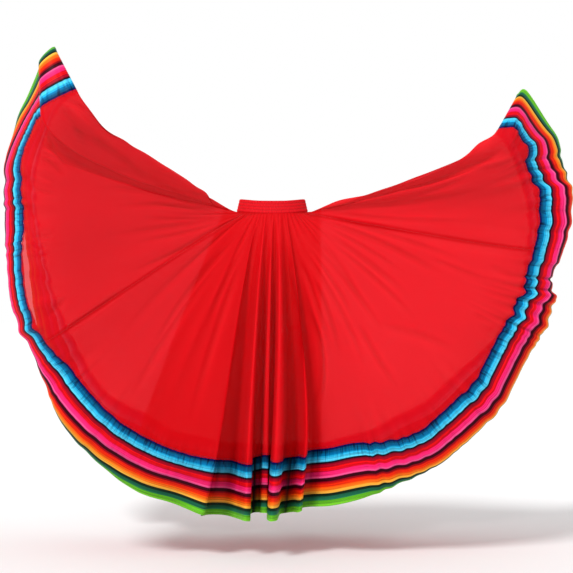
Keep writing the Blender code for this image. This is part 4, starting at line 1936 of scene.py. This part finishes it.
@dataclass
class Stitching:
    """A machine-sewn run of stitches, one thread dash after another."""

    name: str
    paths: Sequence[SeamPath]
    slot: str
    pitch: float = 3.6 * MM
    length: float = 3.0 * MM
    radius: float = 0.35 * MM

    def tree(self) -> tuple[bpy.types.GeometryNodeTree, dict[str, str]]:
        """The tree that sets a dash of thread at every pitch along the paths.

        Returns:
            The tree and its inputs' identifiers.
        """
        tree, sizes, identifiers = new_geometry_tree(
            f"{self.name}_tree",
            {"Stitch Pitch": self.pitch, "Stitch Length": self.length, "Thread Radius": self.radius},
            {"Material": "NodeSocketMaterial"},
        )
        add = partial(add_node, tree)
        path = add("GeometryNodeMeshToCurve", {}, {0: sizes.outputs["Geometry"]})
        spots = add(
            "GeometryNodeResampleCurve",
            {"mode": "LENGTH"},
            {"Curve": path.outputs[0], "Length": sizes.outputs["Stitch Pitch"]},
        )
        tangent = add("GeometryNodeInputTangent")
        turn = add("FunctionNodeAlignRotationToVector", {"axis": "Z"}, {"Vector": tangent.outputs[0]})
        dash = add("GeometryNodeMeshUVSphere", {"Segments": 6, "Rings": 4, "Radius": 1.0})
        half = add("ShaderNodeMath", {"operation": "MULTIPLY", 1: 0.5}, {0: sizes.outputs["Stitch Length"]})
        shape = add(
            "ShaderNodeCombineXYZ",
            {},
            {
                "X": sizes.outputs["Thread Radius"],
                "Y": sizes.outputs["Thread Radius"],
                "Z": half.outputs[0],
            },
        )
        stitches = add(
            "GeometryNodeInstanceOnPoints",
            {},
            {
                "Points": spots.outputs[0],
                "Instance": dash.outputs[0],
                "Rotation": turn.outputs[0],
                "Scale": shape.outputs[0],
            },
        )
        smooth = add("GeometryNodeSetShadeSmooth", {}, {0: stitches.outputs[0]})
        real = add("GeometryNodeRealizeInstances", {}, {0: smooth.outputs[0]})
        dressed = add(
            "GeometryNodeSetMaterial",
            {},
            {"Geometry": real.outputs[0], "Material": sizes.outputs["Material"]},
        )
        add("NodeGroupOutput", {}, {0: dressed.outputs[0]})
        return tree, identifiers

    def path_mesh(self) -> bpy.types.Mesh:
        """The paths as chains of edges, lifted off the cloth by the thread's radius.

        Returns:
            A mesh of edges only.
        """
        points: list[tuple[float, float, float]] = []
        edges: list[tuple[int, int]] = []
        for path in self.paths:
            start = len(points)
            lifted = path.points + path.outward * self.radius
            points.extend(tuple(point) for point in lifted)
            edges.extend((index, index + 1) for index in range(start, len(points) - 1))
            if path.closed:
                edges.append((len(points) - 1, start))
        mesh = bpy.data.meshes.new(self.name)
        mesh.from_pydata(points, edges, [])
        return mesh

    def build(self, material: bpy.types.Material) -> bpy.types.Object:
        """Sew the stitches.

        Args:
            material: The thread.

        Returns:
            The stitches, as one piece.
        """
        piece = show(self.name, self.path_mesh())
        tree, identifiers = self.tree()
        settle(
            piece,
            tree,
            {
                identifiers["Stitch Pitch"]: self.pitch,
                identifiers["Stitch Length"]: self.length,
                identifiers["Thread Radius"]: self.radius,
                identifiers["Material"]: material,
            },
        )
        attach(piece, BODY)
        LOG.info("%s: %d faces", piece.name, len(piece.data.polygons))
        return piece


@dataclass
class SeamLines:
    """Where the seams and the hem are sewn, read off the finished cloth."""

    form: ClothForm
    seam_inset: float = 4 * MM
    hem_inset: float = 10 * MM

    def row_path(self, distance: float) -> SeamPath:
        """A path right round the skirt at a distance from the border seam.

        Args:
            distance: Metres below the seam, negative above it.

        Returns:
            A closed path.
        """
        form = self.form
        row = int(np.argmin(np.abs(form.from_seam.mean(axis=0) - distance)))
        nearby = form.from_seam[:, row]
        after = row + 1 if distance > nearby.mean() else row - 1
        span = form.from_seam[:, after] - nearby
        share = ((distance - nearby) / span)[:, None]
        points = form.points[:, row] + (form.points[:, after] - form.points[:, row]) * share
        return SeamPath(points, form.outward[:, row], closed=True)

    def border_seam(self) -> list[SeamPath]:
        """The topstitching just above the border seam."""
        return [self.row_path(-self.seam_inset)]

    def hem(self) -> list[SeamPath]:
        """The stitching of the turned hem."""
        return [self.row_path(self.form.cut.border_width - self.hem_inset)]

    def side_seams(self) -> list[SeamPath]:
        """The stitching down the two side seams of the red cloth.

        Returns:
            One path for each seam.
        """
        form = self.form
        paths = []
        for line in (LEFT_SEAM, RIGHT_SEAM):
            column = int(np.argmin(np.abs(form.places - line)))
            rows = slice(4, form.seam_row)
            paths.append(SeamPath(form.points[column, rows], form.outward[column, rows]))
        return paths


# ---------------------------------------------------------------------------------------------
# Studio
# ---------------------------------------------------------------------------------------------


@dataclass
class Studio:
    """A white floor, soft lights and the camera in front of the skirt."""

    floor_level: float = -1.06
    floor_side: float = 60.0
    sky: float = 0.73
    camera_place: tuple[float, float, float] = (0.044, -5.0, -0.2511)
    view_width: float = 1.7763
    sensor: float = 36.0
    key_turn: tuple[float, float, float] = (math.radians(48), 0.0, math.radians(-28))
    key_power: float = 2.15
    key_softness: float = math.radians(14)

    def floor(self, material: bpy.types.Material) -> None:
        """Lay the paper.

        Args:
            material: The paper.
        """
        edge = self.floor_side / 2
        corners = [(x * edge, y * edge, self.floor_level) for x, y in ((-1, -1), (1, -1), (1, 1), (-1, 1))]
        mesh = bpy.data.meshes.new("studio_floor")
        mesh.from_pydata(corners, [], [(0, 1, 2, 3)])
        mesh.materials.append(material)
        show("studio_floor", mesh)

    def world(self) -> None:
        """Surround everything with even white light."""
        world = bpy.data.worlds.new("studio_white")
        world.use_nodes = True
        tree = world.node_tree
        rays = add_node(tree, "ShaderNodeLightPath")
        strength = add_node(
            tree,
            "ShaderNodeMapRange",
            {"To Min": self.sky, "To Max": 1.0},
            {"Value": rays.outputs["Is Camera Ray"]},
        )
        background = tree.nodes["Background"]
        background.inputs["Color"].default_value = (1.0, 1.0, 1.0, 1.0)
        tree.links.new(strength.outputs["Result"], background.inputs["Strength"])
        bpy.context.scene.world = world

    def light(self) -> None:
        """Light everything softly from high on the left, in front."""
        lamp = bpy.data.lights.new("key", "SUN")
        lamp.energy = self.key_power
        lamp.angle = self.key_softness
        stand = bpy.data.objects.new("key", lamp)
        stand.rotation_euler = self.key_turn
        bpy.context.scene.collection.objects.link(stand)

    def camera(self) -> None:
        """Stand the camera level with the middle of the skirt, looking straight at its front."""
        data = bpy.data.cameras.new("camera")
        data.sensor_width = self.sensor
        data.lens = self.sensor * -self.camera_place[1] / self.view_width
        stand = bpy.data.objects.new("camera", data)
        stand.location = self.camera_place
        stand.rotation_euler = (math.pi / 2, 0.0, 0.0)
        bpy.context.scene.collection.objects.link(stand)
        bpy.context.scene.camera = stand

    def build(self, paper: bpy.types.Material) -> None:
        """Set up the whole studio.

        Args:
            paper: The floor's material.
        """
        self.floor(paper)
        self.world()
        self.light()
        self.camera()
        bpy.context.scene.view_settings.view_transform = "Standard"


def main() -> None:
    """Build the skirt and the studio, and report each piece."""
    logging.basicConfig(level=logging.INFO, format="%(message)s")
    cut = Cut()
    form = ClothForm(cut)
    form.build()
    red = RedGeorgette().make()
    satin = StripedSatin().make()
    red_thread = SewingThread("red_sewing_thread", "#B4101C").make()
    navy_thread = SewingThread("navy_sewing_thread", "#0A1E5A").make()
    green_thread = SewingThread("green_sewing_thread", "#4A9628").make()
    band = Waistband(cut)
    band.build(ShirredElastic().make())
    for half in Half:
        RedPanel(form, half).build(red)
        SatinBorder(form, half).build(satin)
    seams = SeamLines(form)
    shirring = Stitching("shirring_thread", band.row_paths(), "elastic_band", pitch=2.9 * MM, length=2.0 * MM)
    shirring.build(red_thread)
    Stitching("border_seam_thread", seams.border_seam(), "red_cloth").build(navy_thread)
    Stitching("side_seam_thread", seams.side_seams(), "red_cloth").build(red_thread)
    Stitching("hem_thread", seams.hem(), "striped_satin").build(green_thread)
    Studio().build(StudioPaper().make())


if __name__ == "__main__":
    main()
